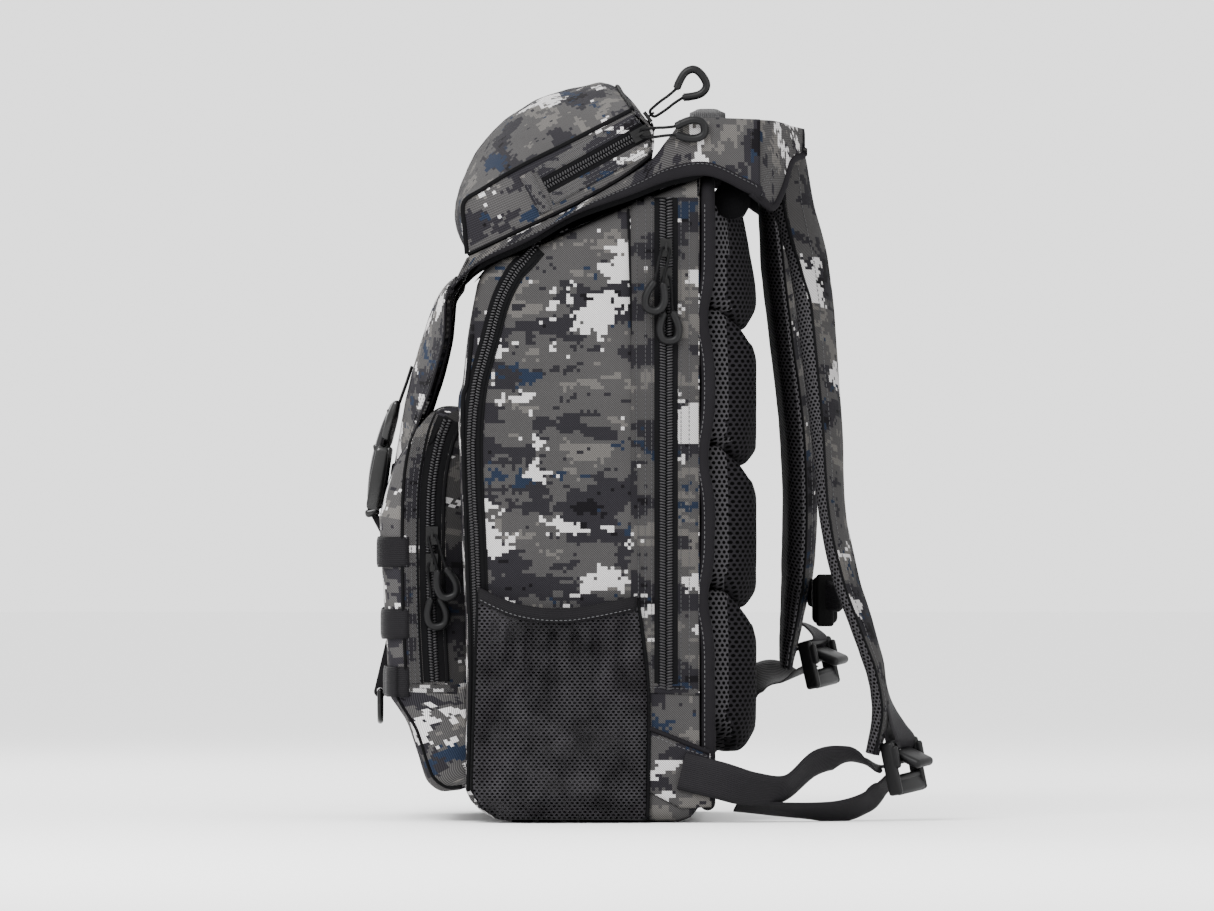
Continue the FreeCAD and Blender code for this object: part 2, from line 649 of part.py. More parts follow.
def main_slider(x):
    """A slider of the main zip, on its run across the top."""
    return slider(V(x, MAIN_ZIP_Y, top_z(MAIN_ZIP_Y)) + TOP_OUT * RISE, OUT, TOP_OUT)


# ---------- build ----------
def build():
    parts = body_panels()
    parts["divider"] = divider()
    parts["frame_sheet"] = frame_sheet()
    parts["base_board"] = base_board()
    parts["back_binding"] = back_binding()
    parts["back_pads"] = back_pads()
    parts["main_zip"] = main_zip()
    parts["rear_zip"] = rear_zip()
    parts["front_pocket_face"] = front_pocket_face()
    parts["front_pocket_gusset"] = front_pocket_gusset()
    parts["front_zip"] = front_zip()
    parts["molle_rows"] = molle_rows()
    parts["web_tabs"] = web_tabs()
    parts["side_pocket_right"] = mesh_pocket()
    parts["side_pocket_left"] = mirror(mesh_pocket())
    parts["pocket_bands"] = pocket_bands()
    parts["lid_flap"] = lid_flap()
    parts["hood_shell"] = hood_shell()
    parts["hood_zip"] = hood_zip()
    parts["tongue"] = tongue()
    parts["carry_handle"] = carry_handle()
    parts["yoke"] = yoke()
    parts["shoulder_strap_right"] = shoulder_strap(STRAP_RIGHT)
    parts["shoulder_strap_left"] = shoulder_strap(STRAP_LEFT)
    parts["strap_wings"] = strap_wings()
    parts["strap_web_right"] = Part.makeCompound([webbing(RUN_RIGHT), webbing(TAIL_RIGHT)])
    parts["strap_web_left"] = webbing(RUN_LEFT)
    parts["ladder_lock_right"] = ladder_lock(102, (204.2, 53.5), (211.2, 18.5), 35)
    parts["ladder_lock_left"] = ladder_lock(-102, (151.2, 117.5), (158.2, 85.5), 28)
    parts["sternum_strap"] = sternum_strap()
    parts["sternum_buckle"] = sternum_buckle()
    parts["buckle_socket"] = buckle_socket()
    parts["buckle_plug"] = buckle_plug()
    parts["d_ring"] = d_ring()
    parts["main_slider_right"] = main_slider(9)
    parts["main_slider_left"] = main_slider(-9)
    parts.update(pull_parts())
    return parts


os.makedirs("parts", exist_ok=True)
for node, shape in build().items():
    if not shape.isValid():
        print("not valid:", node)
    print("%-22s solids %d  volume %.0f" % (node, len(shape.Solids), shape.Volume))
    shape.exportStep("parts/%s.step" % node)
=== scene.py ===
import math

import bmesh
import bpy
from mathutils import Matrix, Vector, noise
from mathutils.bvhtree import BVHTree


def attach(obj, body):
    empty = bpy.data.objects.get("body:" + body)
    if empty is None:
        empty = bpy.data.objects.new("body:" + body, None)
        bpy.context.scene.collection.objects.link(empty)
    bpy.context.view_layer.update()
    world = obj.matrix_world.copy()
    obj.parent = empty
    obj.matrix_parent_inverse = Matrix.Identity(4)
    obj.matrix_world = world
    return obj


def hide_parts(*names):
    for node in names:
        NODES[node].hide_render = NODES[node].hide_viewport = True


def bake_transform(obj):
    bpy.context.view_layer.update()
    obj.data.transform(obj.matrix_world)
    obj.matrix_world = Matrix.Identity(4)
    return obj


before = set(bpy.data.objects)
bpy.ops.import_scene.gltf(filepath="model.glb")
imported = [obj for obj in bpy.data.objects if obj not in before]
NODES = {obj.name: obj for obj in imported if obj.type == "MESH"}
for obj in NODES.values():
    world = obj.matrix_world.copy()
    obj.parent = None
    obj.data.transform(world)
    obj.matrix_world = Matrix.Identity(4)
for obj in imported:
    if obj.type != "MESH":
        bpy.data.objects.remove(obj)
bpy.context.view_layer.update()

# All outlines below are in millimetres, in the row frame: +X the side with the zip pulls,
# -Y the front, +Z up.  Side views are lists of (y, z).
MM = 0.001
HANDS = ((1, "right"), (-1, "left"))

HALF = 150.0             # half width of the main body
BACK_Y = 72.0
PAD_HALF = 137.0
POCKET_HALF = 115.0
REAR_ZIP_Y = 50.0
LID_HALF = 154.0
HOOD_HALF = 146.0


# ---------- camera, light and floor ----------
CAMERA_DISTANCE = 9.0    # metres from the pack's near side
VIEW_WIDTH = 0.801       # metres seen across the picture at the near side
VIEW_MIDDLE = (0.011, 0.242)


def make_camera():
    """A long lens square to the +X side."""
    data = bpy.data.cameras.new("camera")
    data.sensor_width = 36.0
    data.lens = data.sensor_width * CAMERA_DISTANCE / VIEW_WIDTH
    data.clip_end = 40.0
    camera = bpy.data.objects.new("camera", data)
    camera.location = (HALF * MM + CAMERA_DISTANCE, *VIEW_MIDDLE)
    camera.rotation_euler = (math.radians(90), 0, math.radians(90))
    bpy.context.collection.objects.link(camera)
    bpy.context.scene.camera = camera


def make_light(name, place, energy, size):
    """A soft lamp aimed at the middle of the pack."""
    data = bpy.data.lights.new(name, "AREA")
    data.energy = energy
    data.shape = "RECTANGLE"
    data.size = data.size_y = size
    lamp = bpy.data.objects.new(name, data)
    lamp.location = place
    lamp.rotation_euler = (Vector((0, 0, 0.25)) - Vector(place)).to_track_quat("-Z", "Y").to_euler()
    bpy.context.collection.objects.link(lamp)


def make_studio():
    """The white surroundings, the three lights and the floor."""
    world = bpy.data.worlds.new("studio")
    world.use_nodes = True
    back = world.node_tree.nodes["Background"]
    back.inputs["Color"].default_value = (1.0, 1.0, 1.0, 1)
    back.inputs["Strength"].default_value = 2.05
    bpy.context.scene.world = world
    make_light("key", (1.5, -0.7, 1.6), 60, 1.0)
    make_light("fill", (1.6, 1.5, 0.7), 22, 1.4)
    make_light("rim", (-1.4, -0.6, 1.5), 26, 1.2)
    mesh = bpy.data.meshes.new("floor")
    reach = 12.0
    corners = ((-1, -1), (1, -1), (1, 1), (-1, 1))
    mesh.from_pydata([(x * reach, y * reach, 0) for x, y in corners], [], [(0, 1, 2, 3)])
    floor = bpy.data.objects.new("floor", mesh)
    floor.location.z = -0.0005
    bpy.context.collection.objects.link(floor)
    mesh.materials.append(plain_material("floor_white", (0.93, 0.93, 0.93), 0.9))


# ---------- material helpers ----------
def linear(hex_colour):
    """An sRGB hex colour as linear RGBA."""
    out = []
    for i in (1, 3, 5):
        c = int(hex_colour[i:i + 2], 16) / 255.0
        out.append(c / 12.92 if c <= 0.04045 else ((c + 0.055) / 1.055) ** 2.4)
    return (*out, 1.0)


class Shader:
    """A material under construction: short calls that add a node and return its output."""

    def __init__(self, name, roughness, specular=0.5):
        self.material = bpy.data.materials.new(name)
        self.material.use_nodes = True
        self.tree = self.material.node_tree
        self.bsdf = self.tree.nodes["Principled BSDF"]
        self.bsdf.inputs["Roughness"].default_value = roughness
        self.bsdf.inputs["Specular IOR Level"].default_value = specular

    def add(self, kind, inputs, **props):
        """A node with its inputs linked to outputs or set to constants."""
        node = self.tree.nodes.new(kind)
        for key, value in props.items():
            setattr(node, key, value)
        for key, value in inputs.items():
            if hasattr(value, "is_output"):
                self.tree.links.new(value, node.inputs[key])
            else:
                node.inputs[key].default_value = value
        return node

    def uv(self):
        """The two lengths over the cloth, in metres."""
        node = self.add("ShaderNodeTexCoord", {})
        parts = self.add("ShaderNodeSeparateXYZ", {0: node.outputs["UV"]})
        return parts.outputs[0], parts.outputs[1]

    def place(self):
        return self.add("ShaderNodeTexCoord", {}).outputs["Object"]

    def math(self, operation, a, b=0.0, c=0.0):
        return self.add("ShaderNodeMath", {0: a, 1: b, 2: c}, operation=operation).outputs[0]

    def vector(self, operation, a, b):
        return self.add("ShaderNodeVectorMath", {0: a, 1: b}, operation=operation).outputs[0]

    def noise(self, vector, scale, detail=2.0, roughness=0.5):
        inputs = {"Vector": vector, "Scale": scale, "Detail": detail, "Roughness": roughness}
        return self.add("ShaderNodeTexNoise", inputs).outputs["Fac"]

    def mix(self, factor, a, b):
        return self.add("ShaderNodeMix", {0: factor, 6: a, 7: b}, data_type="RGBA").outputs[2]

    def steps(self, value, stops):
        node = self.add("ShaderNodeValToRGB", {0: value})
        ramp = node.color_ramp
        ramp.interpolation = "CONSTANT"
        ramp.elements[0].position, ramp.elements[0].color = stops[0]
        ramp.elements[1].position, ramp.elements[1].color = stops[1]
        for position, colour in stops[2:]:
            ramp.elements.new(position).color = colour
        return node.outputs[0]

    def shade(self, colour, factor):
        """A colour times a grey factor."""
        colour = colour if hasattr(colour, "is_output") else colour[:3]
        return self.add("ShaderNodeVectorMath", {0: colour, "Scale": factor}, operation="SCALE").outputs[0]

    def faded(self, tone, scale, weight, least):
        """A tone with soft blotches of wear."""
        wear = self.noise(self.place(), scale, 3.0, 0.6)
        return self.math("MULTIPLY", tone, self.math("MULTIPLY_ADD", wear, weight, least))

    def finish(self, colour, height=None, depth=0.0002, strength=1.0):
        self.tree.links.new(colour, self.bsdf.inputs["Base Color"])
        if height is not None:
            inputs = {"Height": height, "Distance": depth, "Strength": strength}
            bump = self.add("ShaderNodeBump", inputs)
            self.tree.links.new(bump.outputs[0], self.bsdf.inputs["Normal"])
        return self.material

    def wave(self, value, pitch):
        """A sine of a length, from 0 to 1, repeating every pitch metres."""
        turned = self.math("MULTIPLY", value, 2 * math.pi / pitch)
        return self.math("MULTIPLY_ADD", self.math("SINE", turned), 0.5, 0.5)

    def weave(self, u, v, pitch):
        """Woven cloth: threads that pass over each other on the diagonal."""
        rise = self.wave(self.math("ADD", u, v), pitch)
        fall = self.wave(self.math("SUBTRACT", u, v), pitch)
        return self.math("MULTIPLY", rise, self.math("MULTIPLY_ADD", fall, 0.6, 0.4))


def plain_material(name, colour, roughness):
    shader = Shader(name, roughness)
    shader.bsdf.inputs["Base Color"].default_value = (*colour, 1.0)
    return shader.material


# ---------- materials ----------
CAMO_CELL = 0.00225
CAMO_DARK = linear("#111012")
CAMO_SHADE = linear("#201f22")
CAMO_GREY = linear("#393838")
CAMO_STONE = linear("#4d4b49")
CAMO_LIGHT = linear("#a8a6a6")
CAMO_NAVY = linear("#1b222f")


def camo_material(name, seed, light=1.0, pale_from=0.574):
    """Square-celled camouflage print on a coarse diagonal weave."""
    s = Shader(name, 0.85, 0.03)
    u, v = s.uv()
    spot = s.add("ShaderNodeCombineXYZ", {0: u, 1: v}).outputs[0]
    cells = s.vector("SNAP", spot, (CAMO_CELL, CAMO_CELL, CAMO_CELL))
    cells = s.vector("MULTIPLY", cells, (0.55, 1.0, 1.0))
    ground = s.noise(s.vector("ADD", cells, (seed, 1.7, 0.3)), 30, 5.0, 0.66)
    colour = s.steps(ground, [(0.0, CAMO_DARK), (0.385, CAMO_SHADE), (0.475, CAMO_GREY),
                              (0.575, CAMO_STONE), (0.66, CAMO_SHADE)])
    blue = s.noise(s.vector("ADD", cells, (3.1, seed, 2.2)), 30, 5.0, 0.72)
    colour = s.mix(s.math("GREATER_THAN", blue, 0.602), colour, CAMO_NAVY)
    pale = s.noise(s.vector("ADD", cells, (seed, 7.9, 4.4)), 29, 6.0, 0.70)
    colour = s.mix(s.math("GREATER_THAN", pale, pale_from), colour, CAMO_LIGHT)
    threads = s.weave(u, v, 0.00150)
    tone = s.math("MULTIPLY_ADD", threads, 1.25 * light, 0.42 * light)
    return s.finish(s.shade(colour, s.faded(tone, 18, 0.30, 0.85)), threads, 0.00025, 0.7)


def cloth_material(name, colour, pitch=0.0011, roughness=0.8, contrast=0.6):
    """A plain woven cloth with slight fading."""
    s = Shader(name, roughness, 0.03)
    threads = s.weave(*s.uv(), pitch)
    tone = s.math("MULTIPLY_ADD", threads, contrast, 1.0 - contrast * 0.35)
    return s.finish(s.shade(linear(colour), s.faded(tone, 26, 0.5, 0.75)), threads, 0.0002, 0.6)


def webbing_material(name, colour):
    """Ribbed webbing: cords along the length, u, with a short herringbone across it."""
    s = Shader(name, 0.6, 0.08)
    u, v = s.uv()
    slant = s.wave(s.math("ADD", u, s.math("PINGPONG", v, 0.0026)), 0.0012)
    height = s.math("MULTIPLY_ADD", s.wave(v, 0.0013), 0.7, s.math("MULTIPLY", slant, 0.3))
    tone = s.math("MULTIPLY_ADD", height, 0.5, 0.7)
    return s.finish(s.shade(linear(colour), s.faded(tone, 30, 0.5, 0.75)), height, 0.0004, 0.8)


def holes(s, u, v, wide, tall):
    """0 in the holes of a honeycomb mesh and 1 on its threads, with soft edges."""
    row = s.math("DIVIDE", v, tall)
    odd = s.math("PINGPONG", s.math("FLOOR", row), 1.0)
    along = s.math("ADD", s.math("DIVIDE", u, wide), s.math("MULTIPLY", odd, 0.5))
    dx = s.math("SUBTRACT", s.math("FRACT", along), 0.5)
    dy = s.math("MULTIPLY", s.math("SUBTRACT", s.math("FRACT", row), 0.5), 0.86)
    far = s.math("SQRT", s.math("ADD", s.math("MULTIPLY", dx, dx), s.math("MULTIPLY", dy, dy)))
    return s.add("ShaderNodeMapRange", {0: far, 1: 0.24, 2: 0.37, 3: 0.0, 4: 1.0},
                 interpolation_type="SMOOTHSTEP").outputs[0]


def spacer_material(name, wide, tall, thread="#363537", hollow_shade="#030303"):
    """Padded spacer mesh: raised threads round near-black hollows, painted shade of the holes over the mesh's
    dark inner layer.
    """
    s = Shader(name, 0.9, 0.02)
    u, v = s.uv()
    web = holes(s, u, v, wide, tall)
    fine = s.wave(v, tall / 3.0)
    tone = s.math("MULTIPLY_ADD", fine, 0.3, 0.8)
    # The hollows' near-black is painted shade in the holes, over the dark inner layer.
    colour = s.shade(s.mix(web, linear(hollow_shade), linear(thread)), tone)
    return s.finish(colour, web, 0.0007, 0.9)


def net_material(name):
    """Open warp-knit net: the holes are painted near-black, as the shade inside the pocket, and let a little
    of the cloth behind show.
    """
    s = Shader(name, 0.6, 0.03)
    u, v = s.uv()
    web = holes(s, u, v, 0.0034, 0.0020)
    fine = s.math("MULTIPLY_ADD", s.wave(u, 0.0009), 0.5, 0.7)
    # Large soft blotches that lighten and darken the net: painted light and shade of its folds.
    fold = s.math("MULTIPLY_ADD", s.noise(s.place(), 38, 2.0, 0.55), 2.6, -0.25)
    tone = s.math("MULTIPLY", fine, fold)
    # Near-black in the holes: painted shade of the pocket's inside.
    colour = s.shade(s.mix(web, linear("#020202"), linear("#232224")), tone)
    s.tree.links.new(s.math("MULTIPLY_ADD", web, 0.18, 0.82), s.bsdf.inputs["Alpha"])
    return s.finish(colour, web, 0.0005, 0.8)


def moulded_material(name, colour, roughness, coat=0.0, grain=0.15, gloss=0.25):
    """A moulded plastic, rubber or lacquered metal with a fine uneven skin."""
    s = Shader(name, roughness, gloss)
    s.bsdf.inputs["Coat Weight"].default_value = coat
    s.bsdf.inputs["Coat Roughness"].default_value = 0.12
    fine = s.noise(s.place(), 900, 3.0, 0.6)
    scuff = s.noise(s.place(), 60, 4.0, 0.65)
    tone = s.math("MULTIPLY_ADD", scuff, 0.7, 0.65)
    s.tree.links.new(s.math("MULTIPLY_ADD", scuff, 0.2, roughness - 0.08), s.bsdf.inputs["Roughness"])
    return s.finish(s.shade(linear(colour), tone), fine, 0.0001, grain)


def cord_material(name, colour):
    """Braided cord: two slanted sets of strands."""
    s = Shader(name, 0.6, 0.08)
    u, v = s.uv()
    strands = s.weave(s.math("MULTIPLY", u, 0.05), s.math("MULTIPLY", v, 0.006), 0.0035)
    tone = s.math("MULTIPLY_ADD", strands, 0.8, 0.6)
    return s.finish(s.shade(linear(colour), tone), strands, 0.0002, 0.8)


LOOKS = {
    "camo_side": (camo_material, 0.15),
    "camo_gusset": (camo_material, 2.35),
    "camo_front": (camo_material, 4.85, 1.42, 0.566),
    "camo_lid": (camo_material, 6.4),
    "camo_hood": (camo_material, 8.7, 1.2, 0.598),
    "camo_strap": (camo_material, 11.3, 0.78, 0.60),
    "camo_strip": (camo_material, 2.6, 0.85),
    # A copy of the camo at half brightness: painted shade, used on the front pocket's side gussets and the
    # yoke's rear fold.
    "camo_dim": (camo_material, 13.9, 0.5, 0.61),
    "lining": (cloth_material, "#0a0a0b"),
    "dark_cloth": (cloth_material, "#1e1d1f", 0.0014),
    "binding": (cloth_material, "#161517", 0.0013, 0.75, 0.5),
    "piping": (cloth_material, "#0c0c0d", 0.0009, 0.7),
    "tape": (cloth_material, "#0c0c0d", 0.0010, 0.75),
    "webbing": (webbing_material, "#121113"),
    "webbing_grey": (webbing_material, "#171618"),
    "elastic": (webbing_material, "#0f0e10"),
    "thread": (plain_material, (0.018, 0.018, 0.020), 0.6),
    "thread_pale": (plain_material, (0.045, 0.045, 0.048), 0.6),
    "coil": (moulded_material, "#1b1a1c", 0.34, 0.0, 0.1, 0.35),
    "spacer": (spacer_material, 0.0052, 0.0031),
    "spacer_edge": (spacer_material, 0.0038, 0.0024),
    "spacer_fine": (spacer_material, 0.0090, 0.0030, "#1d1c1e"),
    "net": (net_material,),
    "buckle": (moulded_material, "#060606", 0.26, 0.25, 0.05),
    "shield": (moulded_material, "#121113", 0.32, 0.15, 0.08),
    "rubber": (moulded_material, "#09090a", 0.42, 0.0, 0.2, 0.16),
    "metal": (moulded_material, "#050505", 0.22, 0.1, 0.05, 0.2),
    "dull_plastic": (moulded_material, "#030303", 0.6, 0.0, 0.1, 0.05),
    "cord": (cord_material, "#09090a"),
    "board": (moulded_material, "#2e2e30", 0.6),
}
MATERIALS = {name: make(name, *values) for name, (make, *values) in LOOKS.items()}


# ---------- lines and curves ----------
def spline(points, count):
    """Points of any size of tuple, on a smooth curve through the given ones."""
    out = []
    last = len(points) - 1
    for k in range(count):
        t = last * k / (count - 1)
        i = min(int(t), last - 1)
        f = t - i
        p0, p1 = points[max(i - 1, 0)], points[i]
        p2, p3 = points[i + 1], points[min(i + 2, last)]
        out.append(tuple(
            0.5 * (2 * b + (c - a) * f + (2 * a - 5 * b + 4 * c - d) * f * f
                   + (3 * b - a - 3 * c + d) * f ** 3)
            for a, b, c, d in zip(p0, p1, p2, p3)))
    return out


def run_lengths(path):
    """The length of a path up to each of its points."""
    out = [0.0]
    for a, b in zip(path, path[1:]):
        out.append(out[-1] + (b - a).length)
    return out


def evenly(path, count):
    """A number of points evenly along a path."""
    lengths = run_lengths(path)
    out = []
    i = 0
    for k in range(count):
        want = lengths[-1] * k / (count - 1)
        while i < len(lengths) - 2 and lengths[i + 1] < want:
            i += 1
        span = lengths[i + 1] - lengths[i]
        out.append(path[i].lerp(path[i + 1], (want - lengths[i]) / span if span else 0.0))
    return out


def even(points, step):
    """A line of points spaced about a step apart."""
    path = [Vector(p) for p in points]
    return evenly(path, max(2, int(round(run_lengths(path)[-1] / step)) + 1))


def by_length(points, count):
    """A (y, z) line as count points evenly along it."""
    return evenly([Vector((0, y, z)) for y, z in points], count)


def curve(points, step=2.0):
    """A smooth line through points, spaced about a step apart."""
    return even(spline(points, 24 * (len(points) - 1)), step)


def smooth_side(points, step):
    """A side-view line, (y, z), made smooth."""
    return [(p.y, p.z) for p in curve([(0, y, z) for y, z in points], step)]


def smooth_step(t):
    """An S-shaped ramp from 0 to 1."""
    t = max(0.0, min(1.0, t))
    return t * t * (3 - 2 * t)


def rounded(value, power):
    """A cosine or sine pushed towards 1 or -1, for a rounded square section."""
    return math.copysign(abs(value) ** power, value)


def fbm(p, size, octaves=3):
    """Smooth noise from about -1 to 1, with features of a size in millimetres."""
    total = 0.0
    weight = 1.0
    q = Vector(p) / size
    for _ in range(octaves):
        total += weight * noise.noise(q)
        q = q * 2.03 + Vector((3.7, 1.3, 5.1))
        weight *= 0.5
    return total


# ---------- mesh builders ----------
def dress(obj, material, body, replaces=()):
    """Material, body and the CAD nodes that a piece stands for."""
    obj.data.materials.clear()
    for name in ([material] if isinstance(material, str) else material):
        obj.data.materials.append(MATERIALS[name])
    if body:
        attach(obj, body)
    if replaces:
        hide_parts(*replaces)


def trim(obj, material, body="pack"):
    """Dress a small plain piece: a binding, a welt, a row of stitches."""
    dress(obj, material, body)


def new_mesh(name, verts, faces, uvs=None):
    """A smooth-shaded mesh from millimetres; uvs are in metres, one per vertex."""
    mesh = bpy.data.meshes.new(name)
    mesh.from_pydata([tuple(c * MM for c in v) for v in verts], [], faces)
    mesh.polygons.foreach_set("use_smooth", [True] * len(mesh.polygons))
    if uvs:
        layer = mesh.uv_layers.new(name="UVMap")
        for loop in mesh.loops:
            layer.data[loop.index].uv = uvs[loop.vertex_index]
    mesh.update()
    obj = bpy.data.objects.new(name, mesh)
    bpy.context.collection.objects.link(obj)
    return obj


def lengths_uv(rows):
    """Arc-length UVs, in metres, of a grid of points."""
    height = 0.0
    out = []
    for row, before in zip(rows, rows[:1] + rows):
        height += sum((Vector(a) - Vector(b)).length for a, b in zip(row, before)) / len(row)
        out += [(run * MM, height * MM) for run in run_lengths([Vector(p) for p in row])]
    return out


def grid(name, rows, uvs=None, thick=0.0, centre=(0, 0, 250)):
    """A sheet through rows of points, facing away from centre; thick adds its inner side."""
    wide = len(rows[0])
    verts = [p for row in rows for p in row]
    faces = []
    for i in range(len(rows) - 1):
        for a in range(i * wide, i * wide + wide - 1):
            faces.append((a, a + 1, a + 1 + wide, a + wide))
    facing = 0.0
    for a, b, c, d in faces:
        corner = Vector(verts[a])
        square = (Vector(verts[c]) - corner).cross(Vector(verts[d]) - Vector(verts[b]))
        facing += square.dot(corner - Vector(centre))
    if facing < 0:
        faces = [tuple(reversed(face)) for face in faces]
    obj = new_mesh(name, verts, faces, uvs or lengths_uv(rows))
    if thick:
        shell = obj.modifiers.new("thick", "SOLIDIFY")
        shell.thickness = thick * MM
        shell.offset = -1.0
    return obj


def lined(sheet, outside, body, replaces=()):
    """Dress a thick sheet in printed cloth outside and dark lining inside."""
    dress(sheet, [outside, "lining"], body, replaces)
    sheet.modifiers["thick"].material_offset = 1


def mirrored(rows):
    """Rows of the right-hand side, turned into the left-hand side."""
    return [[(-p[0], p[1], p[2]) for p in reversed(row)] for row in rows]


def tangent_at(path, i):
    """The path's direction at one of its points."""
    return (path[min(i + 1, len(path) - 1)] - path[max(i - 1, 0)]).normalized()


def frames(path, normals=None):
    """Tangent, side and normal at each point of a path."""
    out = []
    normal = None
    for i in range(len(path)):
        tangent = tangent_at(path, i)
        if normals:
            normal = normals[i]
        elif normal is None:
            normal = tangent.orthogonal()
        normal = (normal - tangent * normal.dot(tangent)).normalized()
        out.append((tangent, tangent.cross(normal), normal))
    return out


def ring_faces(rings, size):
    """The faces of a closed tube made of rings of points, with its two ends."""
    faces = []
    for i in range(rings - 1):
        for k in range(size):
            a, b = i * size + k, i * size + (k + 1) % size
            faces.append((a, b, b + size, a + size))
    return faces + [tuple(reversed(range(size))), tuple(range((rings - 1) * size, rings * size))]


def tube(name, path, radius, sides=10, normals=None):
    """A tube along a path; radius is a number or a function of the share of the length."""
    path = [Vector(p) for p in path]
    verts, uvs = [], []
    for i, (p, (_, s, n), run) in enumerate(zip(path, frames(path, normals), run_lengths(path))):
        r = radius(i / (len(path) - 1)) if callable(radius) else radius
        for k in range(sides):
            a = 2 * math.pi * k / sides
            verts.append(p + s * (r * math.cos(a)) + n * (r * math.sin(a)))
            uvs.append((run * MM, r * a * MM))
    return new_mesh(name, verts, ring_faces(len(path), sides), uvs)


def strap_mesh(name, path, across, width, thick, rounding=0.45, columns=9):
    """A flat strap with soft edges: a path, a direction across it at each point, two sizes."""
    verts, uvs = [], []
    for i, (p, run) in enumerate(zip(path, run_lengths(path))):
        tangent = tangent_at(path, i)
        side = (across[i] - tangent * across[i].dot(tangent)).normalized()
        out = side.cross(tangent)
        w = width[i] if isinstance(width, list) else width
        h = thick[i] if isinstance(thick, list) else thick
        for face in (1, -1):
            for k in range(columns):
                f = (2.0 * k / (columns - 1) - 1.0) * face
                edge = max(0.0, 1.0 - abs(f) ** (2.0 / rounding)) ** 0.5 * 0.85 + 0.15
                verts.append(p + side * (f * w / 2) + out * (face * edge * h / 2))
                uvs.append((run * MM, (f * w / 2 + (0.2 if face < 0 else 0)) * MM))
    return new_mesh(name, verts, ring_faces(len(path), 2 * columns), uvs)


def many(name, shape, places):
    """Copies of a small shape (verts, faces) at 4x4 matrices, as one mesh."""
    verts, faces = [], []
    for matrix in places:
        base = len(verts)
        verts += [matrix @ Vector(v) for v in shape[0]]
        faces += [tuple(base + i for i in face) for face in shape[1]]
    return new_mesh(name, verts, faces)


def bead(length, wide, tall):
    """A small pillow along x, for a stitch or a tooth."""
    verts = [(-length / 2, 0, 0), (length / 2, 0, 0)]
    for x in (-0.32, 0.32):
        for k in range(6):
            a = 2 * math.pi * k / 6
            verts.append((x * length, math.cos(a) * wide / 2, math.sin(a) * tall / 2))
    faces = []
    for k in range(6):
        n = (k + 1) % 6
        faces.append((0, 2 + n, 2 + k))
        faces.append((2 + k, 2 + n, 8 + n, 8 + k))
        faces.append((1, 8 + k, 8 + n))
    return verts, faces


def basis(place, x, z):
    """A matrix with its x along one direction and its z near another."""
    x = x.normalized()
    z = (z - x * z.dot(x)).normalized()
    y = z.cross(x)
    m = Matrix((x, y, z)).transposed().to_4x4()
    m.translation = place
    return m


# ---------- laying things on a surface ----------
def tree_of(*objs):
    """A search tree over meshes, in millimetres."""
    verts, faces = [], []
    for obj in objs:
        base = len(verts)
        verts += [v.co / MM for v in obj.data.vertices]
        faces += [tuple(base + i for i in p.vertices) for p in obj.data.polygons]
    return BVHTree.FromPolygons(verts, faces)


def lay(tree, points, way):
    """Points dropped on a surface along a direction, with the surface's outward normals."""
    out = []
    way = Vector(way)
    for p in points:
        hit, normal, _, _ = tree.ray_cast(Vector(p) - way * 300, way)
        if hit is None:
            hit, normal, _, _ = tree.find_nearest(Vector(p))
        if normal.dot(way) > 0:
            normal = -normal
        out.append((hit, normal))
    return out


def side_line(points, sign=1, x=170.0, step=2.0, smooth=True):
    """A side-view line as points beside the body."""
    line = (curve if smooth else even)([(0, y, z) for y, z in points], step)
    return [Vector((sign * x, p.y, p.z)) for p in line]


def shifted(line, way, distance):
    """A line moved sideways, square to the direction it is dropped along."""
    way = Vector(way)
    return [p + tangent_at(line, i).cross(way).normalized() * distance for i, p in enumerate(line)]


def band_on(name, tree, line, way, width, lift, columns=7, edge=0.1, level=False):
    """A strip of cloth laid along a line on a surface, with turned-down edges.

    A level strip's print stands upright, whichever way the strip runs.
    """
    rows = []
    for k in range(columns):
        f = 2.0 * k / (columns - 1) - 1.0
        height = lift if abs(f) < 0.99 else edge
        laid = lay(tree, shifted(line, way, f * width / 2), way)
        rows.append([tuple(p + n * height) for p, n in laid])
    return grid(name, rows, flat_uv(rows, 23) if level else None)


def stitches_on(name, tree, line, way, gap, length, lift, material="thread", body="pack"):
    """A row of stitches along a line on a surface."""
    laid = lay(tree, even(line, gap), way)
    places = []
    for (p, n), (after, _) in zip(laid, laid[1:]):
        places.append(basis(p + n * lift, after - p, n))
    thread = many(name, bead(length, 0.55, 0.55), places)
    trim(thread, material, body)
    return thread


def coil_on(name, tree, line, way, lift=1.5, pitch=1.9, wide=4.6):
    """The coil of a zip: two rows of teeth, side by side, along a line on a surface."""
    laid = lay(tree, even(line, pitch / 2), way)
    places = []
    for i, (p, n) in enumerate(laid[:-1]):
        along = (laid[i + 1][0] - p).normalized()
        across = n.cross(along)
        hand = 1 if i % 2 else -1
        lean = across * hand + along * 0.22
        places.append(basis(p + n * lift + across * (hand * wide * 0.5), lean, n))
    return many(name, bead(wide, 1.3, 1.7), places)


def piping_on(name, tree, line, way, radius=1.5, lift=0.3, body="pack"):
    """A thin round edge of cloth along a line on a surface."""
    laid = lay(tree, line, way)
    trim(tube(name, [p + n * lift for p, n in laid], radius, 8, [n for _, n in laid]), "piping", body)


def cord_edge(name, path, radius, sides=8, material="piping", body="pack"):
    """A round edge of cloth along a path in space."""
    trim(tube(name, path, radius, sides), material, body)


